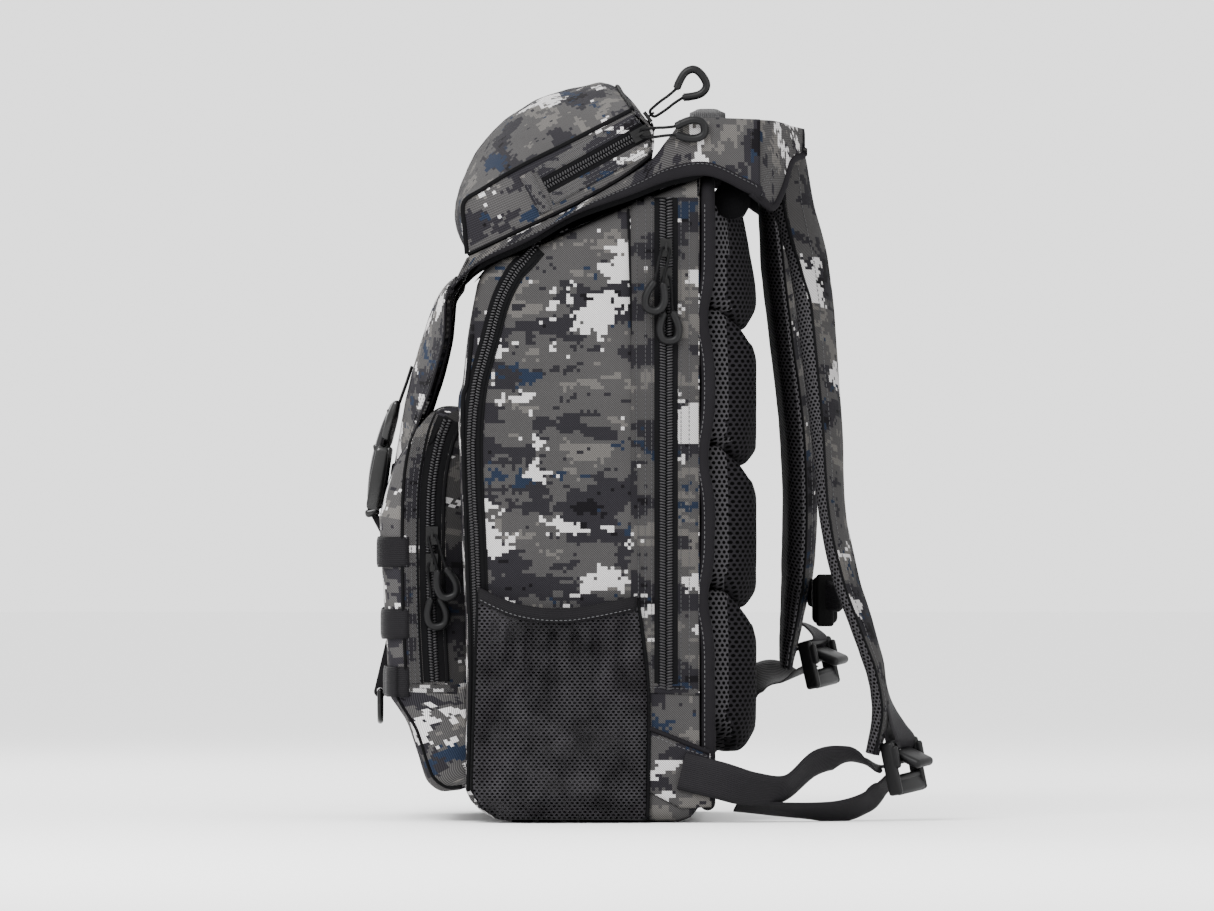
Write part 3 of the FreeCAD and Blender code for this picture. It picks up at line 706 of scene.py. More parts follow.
# ---------- cords and pulls ----------
CORD_ROUTE = [(24, -2.9), (17.5, -2.5), (11, -3.0), (5, -2.9), (0, -2.6),
              (0, 2.6), (5, 2.9), (11, 3.0), (17.5, 2.5), (24, 2.9)]
GRIP_ROUTE = [(24, -2.9), (29, -5.2), (36, -6.6), (42.5, -4.2),
              (42.5, 4.2), (36, 6.6), (29, 5.2), (24, 2.9)]
CORD = 2.0
GRIP = 5.4
RISE = 5.2               # height of a slider's eye over its panel
OUT = (1, 0, 0)
REAR_OUT = (0, 0.8, 0.6)
# name: (eye, way out, direction of the pull, direction across it, flare, spread, cord length)
PULLS = {
    "rear_upper": ((155.2, 50, 379), OUT, (0, -0.22, -1), (0, 1, -0.22), 5.8, 0, 0.052),
    "rear_lower": ((155.2, 50, 360), OUT, (0, 0.06, -1), (0, 1, 0.06), 0, 0, 0.051),
    "front_upper": ((120.2, -105, 189), OUT, (0, 0.30, -1), (0, 1, 0.30), 5.8, 0, 0.052),
    "front_lower": ((120.2, -105, 171), OUT, (0, 0.10, -1), (0, 1, 0.10), 0, 0, 0.051),
    "hood_side": ((151.2, 33, 454.3), OUT, (0, 1, 0.08), (0, -0.08, 1), 6.6, 0, 0.052),
    "hood_rear": ((132, 36 + 0.8 * RISE, 464.3 + 0.6 * RISE), REAR_OUT, REAR_OUT, (0, -0.6, 0.8),
                  0, 0.5, 0.052),
}


def pull_place(point, pull):
    """A flat point of a pull, (away, side), at its place in metres."""
    eye, _, away, side, flare, spread, _ = pull
    wide = point[1] * (1.0 + spread * point[0] / GRIP_ROUTE[3][0])
    lift = flare * (1.0 - math.exp(-point[0] / 8.0))
    spot = Vector(eye) + Vector(away).normalized() * point[0] + Vector(side).normalized() * wide
    return (spot + Vector((lift, 0, 0))) * MM


def nurbs(name, points, diameter):
    """A round tube on one smooth open curve."""
    data = bpy.data.curves.new(name, "CURVE")
    data.dimensions = "3D"
    data.bevel_depth = diameter * MM / 2
    data.bevel_resolution = 5
    data.resolution_u = 10
    data.use_fill_caps = True
    line = data.splines.new("NURBS")
    line.points.add(len(points) - 1)
    for spot, p in zip(line.points, points):
        spot.co = (*p, 1)
    line.order_u = 3
    line.use_endpoint_u = True
    obj = bpy.data.objects.new(name, data)
    bpy.context.collection.objects.link(obj)
    return obj


def collar_radius(share):
    """A collar swells from the cord to the grip along its first part."""
    return 1.55 + 1.15 * math.sin(math.pi * min(share * 1.2, 1) / 2)


def make_pulls():
    """The cord, the grip and the two collars of each zip pull."""
    for name, pull in PULLS.items():
        body = name + "_pull"
        route = [pull_place(p, pull) for p in CORD_ROUTE]
        cord = nurbs(body + "_cord", route, CORD)
        dress(cord, "cord", body, [name + "_cord"])
        grip = nurbs(body + "_grip", [pull_place(p, pull) for p in GRIP_ROUTE], GRIP)
        dress(grip, "rubber", body, [name + "_grip"])
        for side, (a, b) in (("a", GRIP_ROUTE[:2]), ("b", GRIP_ROUTE[:-3:-1])):
            start, end = pull_place(a, pull), pull_place(b, pull)
            reach = (end - start).normalized() * 0.004
            path = even([(start + reach * t) / MM for t in (-0.25, 0.35, 1)], 0.5)
            collar = tube("%s_collar_%s" % (body, side), path, collar_radius, 16)
            dress(collar, "rubber", body)


# ---------- body ----------
BODY_FRONT = [(-82.5, 21), (-81, 110), (-84, 200), (-86, 273), (-83, 291), (-80, 322), (-75, 355)]
BODY_SHOULDER = [(-75, 355), (-69, 366), (-58, 373), (-45.5, 376.5)]
TOP_FRONT = [(-45.5, 376.5), (25, 408)]
SEAM = [(38, 0), (25, 408)]
CORNER = 13.0            # rounding of the body's edges
MAIN_ZIP = [(-35.5, 379.5), (-43, 371), (-51, 362), (-60, 344), (-67.5, 317), (-75, 288), (-78, 256),
            (-77.5, 222), (-76, 190), (-74.5, 150), (-73.5, 114), (-73, 34)]
MAIN_ZIP_Y = -35.0


def patch(left, right, bottom, top, wide, tall):
    """A grid of side-view points that fills the space between four lines."""
    a, b = by_length(left, tall), by_length(right, tall)
    c, d = by_length(bottom, wide), by_length(top, wide)
    rows = []
    for i in range(tall):
        v = i / (tall - 1)
        row = []
        for j in range(wide):
            u = j / (wide - 1)
            across = a[i] * (1 - u) + b[i] * u
            up = c[j] * (1 - v) + d[j] * v
            corners = (c[0] * (1 - u) + c[-1] * u) * (1 - v) + (d[0] * (1 - u) + d[-1] * u) * v
            row.append(across + up - corners)
        rows.append(row)
    return rows


def fall(distance, radius):
    """How far a rounded edge drops at a distance from its border."""
    if distance >= radius:
        return 0.0
    return radius - math.sqrt(radius ** 2 - (radius - max(distance, 0.0)) ** 2)


def side_rows(flat, front_round, seam_left, seam_right, bulge):
    """Give a side-view grid its place in X: rounded edges, sunk seams, a soft swell, creases."""
    rows = []
    for i, row in enumerate(flat):
        out = []
        for j, p in enumerate(row):
            u = j / (len(row) - 1)
            v = i / (len(flat) - 1)
            x = HALF
            if front_round:
                x -= fall((p - row[0]).length, CORNER)
            x -= fall((p - flat[-1][j]).length, CORNER)
            x -= fall((p - flat[0][j]).length, CORNER * 0.7)
            if seam_left:
                x -= 1.6 * math.exp(-((p - row[0]).length / 2.5) ** 2)
            if seam_right:
                x -= 1.6 * math.exp(-((p - row[-1]).length / 2.5) ** 2)
            x += bulge * math.sin(math.pi * u) ** 0.8 * math.sin(math.pi * v) ** 0.5
            x += 0.8 * fbm((p.y, p.z * 0.7, 3), 46) * math.sin(math.pi * u)
            out.append((x, p.y, p.z))
        rows.append(out)
    return rows


def flat_uv(rows, shift=0.0):
    """UVs straight from the side view, in metres."""
    return [((p[1] + shift) * MM, p[2] * MM) for row in rows for p in row]


def across_rows(edge, columns, swell=0.0, way=(0, 0, 0)):
    """Rows that span from the left to the right side between mirrored edge points."""
    rows = []
    push = Vector(way)
    for i, p in enumerate(edge):
        row = []
        for j in range(columns):
            f = 2.0 * j / (columns - 1) - 1.0
            lift = swell * (1 - f ** 4) * math.sin(math.pi * i / (len(edge) - 1)) ** 0.5
            spot = Vector((p[0] * f, p[1], p[2])) + push * lift
            row.append(tuple(spot))
        rows.append(row)
    return rows


def body_outline():
    front = smooth_side(BODY_FRONT, 3)
    shoulder = smooth_side(BODY_SHOULDER, 2)
    return front, shoulder + TOP_FRONT[1:]


def make_body():
    """The sewn shell of the pack; returns the surfaces that trims are laid on."""
    front, top = body_outline()
    base = [(-82.5, 21), (-79, 14), (-73, 8), (-63, 2), (-52, 0), (38, 0)]
    side = side_rows(patch(front, SEAM, base, top, 56, 150), True, False, True, 3.5)
    rear_base = [(38, 0), (58, 0), (66, 3), (BACK_Y, 10)]
    rear_top = [(25, 408), (BACK_Y, 427)]
    back = [(BACK_Y, 10), (BACK_Y, 427)]
    gusset = side_rows(patch(SEAM, back, rear_base, rear_top, 26, 150), False, True, False, 0.8)
    trees = {}
    for sign, hand in HANDS:
        a = side if sign > 0 else mirrored(side)
        b = gusset if sign > 0 else mirrored(gusset)
        panel = grid("side_panel_%s_skin" % hand, a, flat_uv(a, 0 if sign > 0 else 37), 1.5)
        dress(panel, "camo_side", "pack", ["side_panel_" + hand])
        strip = grid("rear_gusset_%s_skin" % hand, b, flat_uv(b, 0 if sign > 0 else 51), 1.5)
        dress(strip, "camo_gusset", "pack")
        trees[hand] = tree_of(panel, strip)
    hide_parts("rear_gussets")
    face = grid("front_panel_skin", across_rows([row[0] for row in side], 61, 3.0, (0, -1, 0)), None, 1.5)
    dress(face, "camo_front", "pack", ["front_panel"])
    crest = [side[-1][j] for j in range(56)] + [gusset[-1][j] for j in range(1, 26)]
    lid = grid("top_panel_skin", across_rows(crest, 61, 2.0, (0, 0, 1)), None, 1.5)
    dress(lid, "camo_front", "pack", ["top_panel"])
    sole = [side[0][j] for j in range(56)] + [gusset[0][j] for j in range(1, 26)]
    base = grid("base_panel_skin", across_rows(sole, 41), None, 1.5)
    dress(base, "dark_cloth", "pack", ["base_panel"])
    rear = grid("back_panel_skin", across_rows([row[-1] for row in gusset], 41), None, 1.5)
    dress(rear, "spacer_fine", "pack", ["back_panel"])
    trees["top"] = tree_of(lid)
    trees["front"] = tree_of(face)
    return trees


def zip_on(name, tree, line, way, body="pack", coil=4.6, width=15.5, replaces=(), lift=0.6):
    """A zip laid on a surface: tape and coil."""
    tape = band_on(name + "_tape", tree, line, way, width, lift)
    dress(tape, "tape", body, replaces)
    teeth = coil_on(name + "_coil", tree, line, way, lift + 0.7, 1.9, coil)
    dress(teeth, "coil", body)


def strip_on(name, tree, line, way, offset, width, material, body="pack", lift=1.3, seams=(-0.5, 0.5)):
    """A folded cloth strip beside a line, with rows of stitches at shares of its half width."""
    middle = shifted(line, way, offset)
    strip = band_on(name, tree, middle, way, width, lift, 9, 0.3, True)
    dress(strip, material, body)
    for k, share in enumerate(seams):
        row = shifted(middle, way, share * width / 2)
        stitches_on("%s_stitch_%d" % (name, k), tree, row, way, 2.9, 2.3, lift + 0.12, body=body)


def make_body_trims(trees):
    """Zips, folded strips, seams and stitches of the body."""
    for sign, hand in HANDS:
        tree = trees[hand]
        way = (-sign, 0, 0)
        line = side_line(MAIN_ZIP, sign)
        zip_on("main_zip_" + hand, tree, line, way, width=11.5, coil=3.2,
               replaces=["main_zip"] if sign > 0 else ())
        piping_on("main_zip_welt_" + hand, tree, shifted(line, way, sign * 6.4), way, 0.9)
        rear = side_line([(REAR_ZIP_Y, 88), (REAR_ZIP_Y, 412)], sign, smooth=False)
        zip_on("rear_zip_" + hand, tree, rear, way, replaces=["rear_zip"] if sign > 0 else ())
        ahead = 1 if shifted(rear, way, 1.0)[0].y < REAR_ZIP_Y else -1
        strip_on("rear_strip_front_" + hand, tree, rear, way, ahead * 15.5, 15.5, "camo_strip",
                 seams=[ahead * share for share in (-0.78, -0.25, 0.45)])
        strip_on("rear_strip_back_" + hand, tree, rear, way, -ahead * 14.5, 13.5, "camo_strip",
                 seams=[ahead * share for share in (0.7, -0.1)])
        hem = side_line([(34, 88.5), (50, 88), (72, 87)], sign)
        strip_on("rear_hem_" + hand, tree, hem, way, 0, 7, "camo_strip", lift=1.1, seams=(0.2,))
        seam = side_line([(38.2, 3), (25.2, 404)], sign, smooth=False)
        piping_on("side_seam_" + hand, tree, seam, way, 0.8, 0.4)
        edge = side_line([(y + 2.5, z) for y, z in BODY_FRONT[:-1]], sign)
        piping_on("front_edge_welt_" + hand, tree, edge, way, 1.7, 0.6)
    for name, y, z in (("main_zip_top", MAIN_ZIP_Y, 430), ("rear_zip_top", REAR_ZIP_Y, 450)):
        across = [Vector((x, y, z)) for x in range(-140, 141, 4)]
        zip_on(name, trees["top"], across, (0, 0, -1), width=16, coil=3.4)


# ---------- back ----------
PAD_EDGES = [40, 135, 229, 320, 414]


def wave_of(z):
    """How far the binding is pulled forward beside the joints between pads."""
    return sum(4.5 * math.exp(-((z - at - 12) / 20.0) ** 2) for at in PAD_EDGES[1:4])


def make_binding():
    """Padded binding round the edge of the back, in one piece, with its stitches."""
    low, high, inset, round_off = 12.0, 422.5, 145.5, 14.0
    corners = [(inset, low), (inset, high), (-inset, high), (-inset, low)]
    path = []
    for k, (x, z) in enumerate(corners):
        x0, z0 = corners[k - 1]
        x1, z1 = corners[(k + 1) % 4]
        before = Vector((x0 - x, 0, z0 - z)).normalized() * round_off
        after = Vector((x1 - x, 0, z1 - z)).normalized() * round_off
        spot = Vector((x, 0, z))
        for t in (0, 0.25, 0.5, 0.75, 1):
            path.append(spot + before * (1 - t) ** 2 + after * t ** 2)
    path.append(path[0])
    path = even(path, 4.0)
    for p in path:
        p.y = 77.5 - wave_of(p.z) + 0.5 * fbm((p.x, 0, p.z), 25)
    rows = []
    for i, p in enumerate(path):
        tangent = (path[(i + 1) % (len(path) - 1)] - path[i - 1 if i else -2]).normalized()
        side = tangent.cross(Vector((0, 1, 0))).normalized()
        row = []
        for k in range(17):
            a = 2 * math.pi * k / 16
            bulge = 1.0 + 0.05 * math.sin(len(path) * 0.5 + p.z * 0.35)
            row.append(tuple(p + side * (4.6 * bulge * math.cos(a)) + Vector((0, 5.0 * math.sin(a), 0))))
        rows.append(row)
    binding = grid("back_binding_tape", rows)
    dress(binding, "binding", "pack", ["back_binding"])
    tree = tree_of(binding)
    for sign, hand in HANDS:
        line = [Vector((sign * 170, 75.5 - wave_of(z), z)) for z in range(26, 412, 4)]
        stitches_on("binding_stitch_" + hand, tree, line, (-sign, 0, 0), 3.2, 2.3, 0.1, "thread_pale")


def pad_line(edge, x):
    """The joint between two pads, which rises towards the sides."""
    return edge + 32.0 * (abs(x) / PAD_HALF) ** 5


def swell_cloth(obj, voxel, pressure, cap, keep):
    """Blow a closed mesh up as cloth, move no point by more than cap, and apply the result."""
    remesh = obj.modifiers.new("remesh", "REMESH")
    remesh.mode = "VOXEL"
    remesh.voxel_size = voxel * MM
    apply_modifiers(obj)
    start = [v.co.copy() for v in obj.data.vertices]
    cloth = obj.modifiers.new("cloth", "CLOTH")
    cloth.settings.use_pressure = True
    cloth.settings.uniform_pressure_force = pressure
    cloth.settings.effector_weights.gravity = 0
    cloth.settings.quality = 4
    cloth.settings.tension_stiffness = 12
    for step in range(1, 21):
        bpy.context.scene.frame_set(step)
    apply_modifiers(obj)
    bpy.context.scene.frame_set(1)
    for v, p in zip(obj.data.vertices, start):
        move = v.co - p
        if move.length > cap * MM:
            move = move.normalized() * cap * MM
        v.co = keep(p + move)


def apply_modifiers(obj):
    """Replace a mesh with what its modifiers make of it."""
    graph = bpy.context.evaluated_depsgraph_get()
    graph.update()
    made = bpy.data.meshes.new_from_object(obj.evaluated_get(graph))
    obj.modifiers.clear()
    obj.data = made


def pad_shell(name, low, high, rises):
    """A closed box for one pad, flat at the rear and crowned in front; its top rises with the joint."""
    wide, tall = 40, 18
    verts, faces = [], []
    for front in (False, True):
        for i in range(tall + 1):
            for j in range(wide + 1):
                f = 2.0 * j / wide - 1
                x = PAD_HALF * 0.955 * f
                z0 = pad_line(low, x) + 1
                z1 = (pad_line(high, x) if rises else high) - 1.5
                v = i / tall
                z = z0 + (z1 - z0) * v
                rim = (1 - f ** 6) ** 0.6
                crown = min(1.0, 4 * v * (1 - v)) ** 0.45
                slim = 1.0 - 0.46 * smooth_step((z - 326) / 96) - 0.1 * smooth_step((66 - z) / 30)
                verts.append((x, 83.0 + rim * (17.5 + 6.0 * crown) * slim if front else 74.0, z))
    row = wide + 1
    count = row * (tall + 1)
    for i in range(tall):
        for a in range(i * row, i * row + wide):
            faces.append((a, a + row, a + row + 1, a + 1))
            faces.append((count + a, count + a + 1, count + a + row + 1, count + a + row))
    ring = list(range(row)) + [(i + 1) * row - 1 for i in range(1, tall + 1)]
    ring += [tall * row + j for j in range(wide - 1, -1, -1)] + [i * row for i in range(tall - 1, 0, -1)]
    for a, b in zip(ring, ring[1:] + ring[:1]):
        faces.append((a, b, count + b, count + a))
    return new_mesh(name, verts, faces)


def keep_in_place(p):
    """A point of a pad, in metres, held inside the room that the pads have."""
    return Vector((max(-0.1385, min(0.1385, p.x)), max(0.0735, min(0.1105, p.y)), p.z))


def make_pads():
    """Four crowned mesh pads, blown up as cloth between their seams."""
    for k, (low, high) in enumerate(zip(PAD_EDGES, PAD_EDGES[1:])):
        pad = pad_shell("back_pad_%d" % (k + 1), low, high, k < 3)
        swell_cloth(pad, 6.0, 4.0, 6.0, keep_in_place)
        for v in pad.data.vertices:
            p = v.co / MM
            dent = 0.5 * fbm((p.x * 0.6, p.y, p.z), 30)
            v.co.y += dent * MM * (1 if p.y > 84 else 0)
        layer = pad.data.uv_layers.new(name="UVMap")
        for loop in pad.data.loops:
            p = pad.data.vertices[loop.vertex_index].co
            layer.data[loop.index].uv = (p.y * 1.25 - abs(p.x) * 0.8, p.z)
        pad.data.polygons.foreach_set("use_smooth", [True] * len(pad.data.polygons))
        pad.modifiers.new("smooth", "SUBSURF").render_levels = 1
        dress(pad, ["spacer", "spacer_fine"], "pack", ["back_pads"] if k == 0 else ())
        for polygon in pad.data.polygons:
            polygon.material_index = 1 if polygon.center.y > 0.091 else 0


# ---------- front pocket ----------
POCKET_OUTLINE = [(-87, 274), (-100, 272.5), (-112, 261), (-124, 244), (-132, 226), (-138, 204),
                  (-139, 196), (-136, 150), (-133, 100), (-132, 84), (-126, 74), (-121, 66),
                  (-117, 55), (-110, 33), (-106, 25), (-98, 19.5), (-88, 20)]
POCKET_ROUND = 15.0


def pocket_rows(tall, s_from, s_to, columns):
    """The pocket's skin, from one arc length across it to another, measured from its middle."""
    rows = []
    flat = POCKET_HALF - POCKET_ROUND
    turn = POCKET_ROUND * math.pi / 2
    front = by_length(smooth_side(POCKET_OUTLINE, 2), tall)
    for i, spot in enumerate(front):
        v = i / (tall - 1)
        back = Vector((0, -82, 22 + (1 - v) * 250)) - spot
        reach = back.length
        way = back.normalized()
        radius = min(POCKET_ROUND, reach * 0.8)
        row = []
        for j in range(columns):
            s = s_from + (s_to - s_from) * j / (columns - 1)
            sign = 1 if s >= 0 else -1
            far = abs(s)
            if far <= flat:
                x, deep = far, -1.8 * (1 - (far / flat) ** 4)
            elif far <= flat + turn:
                a = (far - flat) / POCKET_ROUND
                x = flat + POCKET_ROUND * math.sin(a)
                deep = radius * (1 - math.cos(a))
            else:
                x = POCKET_HALF
                share = min((far - flat - turn) / (48.0 - POCKET_ROUND), 1.0)
                deep = radius + (reach - radius) * share
                x += 0.8 * math.sin(math.pi * share)
            soft = 1.2 * fbm((s * 0.7, v * 200, 7), 42) * (1 if far < flat else 0.5)
            p = spot + way * (deep - soft)
            row.append((sign * x + sign * soft * (0.4 if far > flat else 0), p.y, p.z))
        rows.append(row)
    return rows


def make_front_pocket():
    """The front pocket: one lofted skin, zip, strips and stitches; returns its surface, which the webbing
    rows are laid on.
    """
    full = POCKET_HALF - POCKET_ROUND + POCKET_ROUND * math.pi / 2 + 33.0
    rows = pocket_rows(120, -full, full, 141)
    skin = grid("front_pocket_skin", rows, None, 1.5, (0, -60, 150))
    dress(skin, ["camo_front", "camo_dim"], "pack",
          ["front_pocket_face", "front_pocket_gusset"])
    # The gussets at the pocket's sides, behind its zip, take the half-bright camo: painted shade.
    for polygon in skin.data.polygons:
        spot = polygon.center / MM
        if abs(spot.x) > POCKET_HALF - 3 and spot.y > -97 and spot.z > 88:
            polygon.material_index = 1
    tree = tree_of(skin)
    for sign, hand in HANDS:
        way = (-sign, 0, 0)
        line = side_line([(-103, 92), (-105, 130), (-106, 180), (-105, 222), (-100, 250), (-94, 266)], sign)
        zip_on("front_zip_" + hand, tree, line, way, width=14.5, coil=3.1,
               replaces=["front_zip"] if sign > 0 else ())
        ahead = 1 if shifted(line, way, 1.0)[4].y < line[4].y else -1
        strip_on("pocket_strip_" + hand, tree, line, way, ahead * 12.5, 10.5, "camo_strip",
                 seams=(-0.6, 0.0, 0.6))
        for k, offset in enumerate((-8.6, 8.8, 18.6)):
            beside = shifted(line, way, ahead * offset)
            piping_on("pocket_welt_%s_%d" % (hand, k), tree, beside, way, 1.1, 0.6)
        hem = side_line([(-128, 89), (-112, 88), (-88, 87)], sign)
        strip_on("pocket_hem_" + hand, tree, hem, way, 0, 6, "camo_strip", lift=0.7, seams=(0.0,))
        edge = side_line([(y + 3, z + (3 if z < 60 else 0)) for y, z in POCKET_OUTLINE[9:]], sign)
        piping_on("pocket_foot_welt_" + hand, tree, edge, way, 1.2, 0.2)
    return tree


ROW_CENTRES = [178, 130.5, 92]
ROW_PITCH = 38.0


def make_webbing_rows(tree):
    """Three rows of webbing across the pocket, sewn down at even steps so that loops stand up."""
    rearward = (0, 1, 0)
    for k, centre in enumerate(ROW_CENTRES):
        points = []
        for x in range(-112, 113, 2):
            (p, n), = lay(tree, [Vector((x, -160, centre))], rearward)
            points.append(p + n * (1.0 + 1.5 * abs(math.sin(math.pi * x / ROW_PITCH)) ** 0.7))
        for sign, _ in HANDS:
            tail = lay(tree, [Vector((sign * 150, y, centre)) for y in (-128, -124, -120)], (-sign, 0, 0))
            ends = [p + n * 1.3 for p, n in tail]
            points = points + ends if sign > 0 else ends[::-1] + points
        row = strap_mesh("webbing_row_%d" % (k + 1), points, [Vector((0, 0, 1))] * len(points), 20.0, 1.6)
        dress(row, "webbing", "pack")
        bars = []
        for i in range(-2, 3):
            (spot, normal), = lay(tree, [Vector((i * ROW_PITCH, -160, centre))], rearward)
            for z in range(-8, 9, 2):
                bars.append(basis(spot + normal * 2.0 + Vector((0, 0, z)), Vector((1, 0, 0.35)), normal))
        trim(many("row_tacks_%d" % (k + 1), bead(3.0, 0.7, 0.7), bars), "thread")
    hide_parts("molle_rows")


# ---------- mesh side pockets ----------
MESH_MOUTH = [(-74, 154), (-48, 143), (-14, 140), (31, 148)]
GATHERS = [-63, -52, -40, -25, -11, 3, 19]


def net_rows(tall=70, wide=90):
    """The net: sewn along its sides and foot, standing off the panel, gathered under the band."""
    mouth = by_length(smooth_side(MESH_MOUTH, 2), wide)
    left = [(-78, 21), (-76, 90), (-74, 154)]
    right = [(37, 1.5), (38, 87), (31, 148)]
    foot = [(-78, 21), (-71, 9), (-60, 2), (37, 1.5)]
    flat = patch(left, right, foot, [(p.y, p.z) for p in mouth], wide, tall)
    rows = []
    for i, row in enumerate(flat):
        v = i / (tall - 1)
        out = []
        for j, p in enumerate(row):
            u = j / (wide - 1)
            stand = math.sin(math.pi * u) ** 0.45 * min(1.0, v * 9 + 0.15) ** 0.6
            spread = 1.8 + 5.0 * (1 - v)
            gather = sum(math.exp(-((p.y - y - 6 * (1 - v) * math.sin(y)) / spread) ** 2) for y in GATHERS)
            slack = 0.75 * v ** 2.2 + 0.25 * v
            x = HALF + 1.5 + 14.5 * stand
            x -= 6.5 * gather * slack * math.sin(math.pi * u) ** 0.3 * smooth_step((0.95 - v) / 0.1)
            x += 2.8 * fbm((p.y, p.z * 0.55, 11), 24) * math.sin(math.pi * u)
            out.append((x, p.y, p.z))
        rows.append(out)
    return rows


def make_mesh_pockets():
    """Both side pockets: the net, its elastic band, its edge cords and the stitches."""
    rows = net_rows()
    for sign, hand in HANDS:
        used = rows if sign > 0 else mirrored(rows)
        net = grid("mesh_pocket_%s_net" % hand, used, flat_uv(used))
        dress(net, "net", "pack", ["side_pocket_" + hand])
        mouth = rows[-1]
        verts = []
        for k, (down, out) in enumerate(((-9.5, 0.4), (-9.0, 1.7), (-4.5, 2.1), (0.0, 1.7), (0.5, 0.2),
                                         (0.0, -0.8), (-9.0, -0.8))):
            row = []
            for x, y, z in mouth:
                ruck = 0.2 * fbm((y, 0, 3), 6) * (1 if 0 < k < 4 else 0)
                row.append((sign * (x + out + ruck), y, z + down + 1.0))
            verts.append(row)
        band = grid("mesh_pocket_%s_band" % hand, verts)
        dress(band, "elastic", "pack")
        for k, (line, smooth) in enumerate((([(-78, 21), (-76, 90), (-74, 152)], True),
                                            ([(37.5, 3), (38, 87), (31, 147)], True),
                                            ([(-78, 22), (-71, 10), (-60, 3), (37, 2.5)], False))):
            path = side_line(line, sign, HALF + 1.6, 2.0, smooth)
            cord_edge("mesh_pocket_%s_edge_%d" % (hand, k), path, 1.5)
        row = [Vector((sign * 190, y, z - 6.5)) for x, y, z in mouth[2:-2]]
        stitches_on("mesh_pocket_%s_stitch" % hand, tree_of(band), row, (-sign, 0, 0), 3.0, 2.2, 0.1,
                    "thread_pale")
    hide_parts("pocket_bands")


# ---------- lid ----------
LID_LINE = [(-81, 373), (-34, 395), (-7, 408), (21, 424), (40, 437), (52, 452), (66, 464), (112, 464)]
LID_RIM = [(-92, 351), (-74, 368), (-40, 384), (-10, 401), (26, 414), (53, 424), (78, 427), (101, 417),
           (112, 411)]


def hem_profile(top, rim, half, round_off, columns, side_columns):
    """One section of a sheet with side skirts: from the right rim over the top to the left rim."""
    top, rim = Vector((0, *top)), Vector((0, *rim))
    down = (rim - top).normalized()
    depth = (rim - top).length
    bend = min(round_off, depth * 0.6)
    right = []
    for k in range(side_columns):
        f = 1 - k / side_columns
        p = top + down * (bend + (depth - bend) * f)
        right.append((half + 1.5 * math.sin(math.pi * f) + 0.5 * f, p.y, p.z))
    for k in range(5):
        a = math.pi / 2 * k / 4
        p = top + down * (bend * (1 - math.sin(a)))
        right.append((half - bend + bend * math.cos(a), p.y, p.z))
    middle = []
    for k in range(1, columns):
        middle.append(((half - bend) * (1 - 2.0 * k / columns), top.y, top.z))
    left = [(-x, y, z) for x, y, z in reversed(right)]
    return right + middle + left


def top_height(y):
    """Height of the body's top at a depth y, near its side edges."""
    (y0, z0), (y1, z1) = TOP_FRONT
    return z0 + (z1 - z0) * (y - y0) / (y1 - y0) - 5.0


BINDING_RING = ((9.0, 0.3), (8.3, 1.5), (4.0, 1.9), (0.4, 1.6), (-0.8, 0.2), (-0.4, -1.4), (4.0, -2.6),
                (8.0, -2.6))


def make_lid():
    """The lid flap: a sheet with skirts, bound along its rim, curving up to where it is sewn to the yoke."""
    tops = by_length(smooth_side(LID_LINE, 3), 80)
    rims = by_length(smooth_side(LID_RIM, 3), 80)
    rows = [hem_profile(a.yz, b.yz, LID_HALF, 7.0, 24, 12) for a, b in zip(tops, rims)]
    flap = grid("lid_flap_sheet", rows, middle_uv(rows), 1.6, (0, 0, 300))
    lined(flap, "camo_lid", None, ["lid_flap"])
    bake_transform(flap)
    inward = [(a - b).normalized() for a, b in zip(tops, rims)]
    for sign, hand in HANDS:
        path = [b + Vector((sign * (LID_HALF + 0.6), 0, 0)) for b in rims]
        sections = [[tuple(p + up * along + Vector((sign * out, 0, 0))) for along, out in BINDING_RING]
                    for p, up in zip(path, inward)]
        band = grid("lid_binding_" + hand, sections, None, 0, (sign * 152, 0, 380))
        trim(band, "binding", None)
        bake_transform(band)
        row = [p + up * 7.2 + Vector((sign * 20, 0, 0)) for p, up in zip(path, inward)]
        thread = stitches_on("lid_binding_stitch_" + hand, tree_of(band), row, (-sign, 0, 0), 3.0, 2.2, 0.12,
                             body=None)
        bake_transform(thread)
    # Dark sheets just inside the skirts, from under the rim up to the flap: painted shadow filling the gap
    # between the lid and the body.
    for sign, hand in HANDS:
        facing = []
        for a, b in zip(tops[6:72], rims[6:72]):
            low = Vector((sign * 147.5, b.y, max(b.z - 4.0, top_height(b.y) + 1.2)))
            high = Vector((sign * 147.5, a.y, a.z - 3))
            facing.append([tuple(low.lerp(high, t)) for t in (0, 0.5, 1)])
        trim(grid("lid_painted_shadow_" + hand, facing, None, 1.0, (sign * 190, 0, 400)), "lining", "lid")
    apron = [[(x, -81.5 - 10.5 * t, 372.5 - 21.0 * t) for x in range(-155, 156, 5)]
             for t in (0, 0.25, 0.5, 0.75, 1)]
    lined(grid("lid_apron", apron, None, 1.2, (0, 0, 360)), "camo_lid", "lid")
    for sign, hand in HANDS:
        lip = [Vector((sign * (113 + k), -92.3, 351.3)) for k in range(43)]
        cord_edge("lid_lip_binding_" + hand, lip, 2.4, 10, "binding", "lid")


def middle_uv(rows):
    """lengths_uv, with each row measured from its middle so that the print isn't sheared."""
    flat = lengths_uv(rows)
    wide = len(rows[0])
    out = []
    for start in range(0, len(flat), wide):
        middle = flat[start + wide // 2][0]
        out += [(u - middle, v) for u, v in flat[start:start + wide]]
    return out


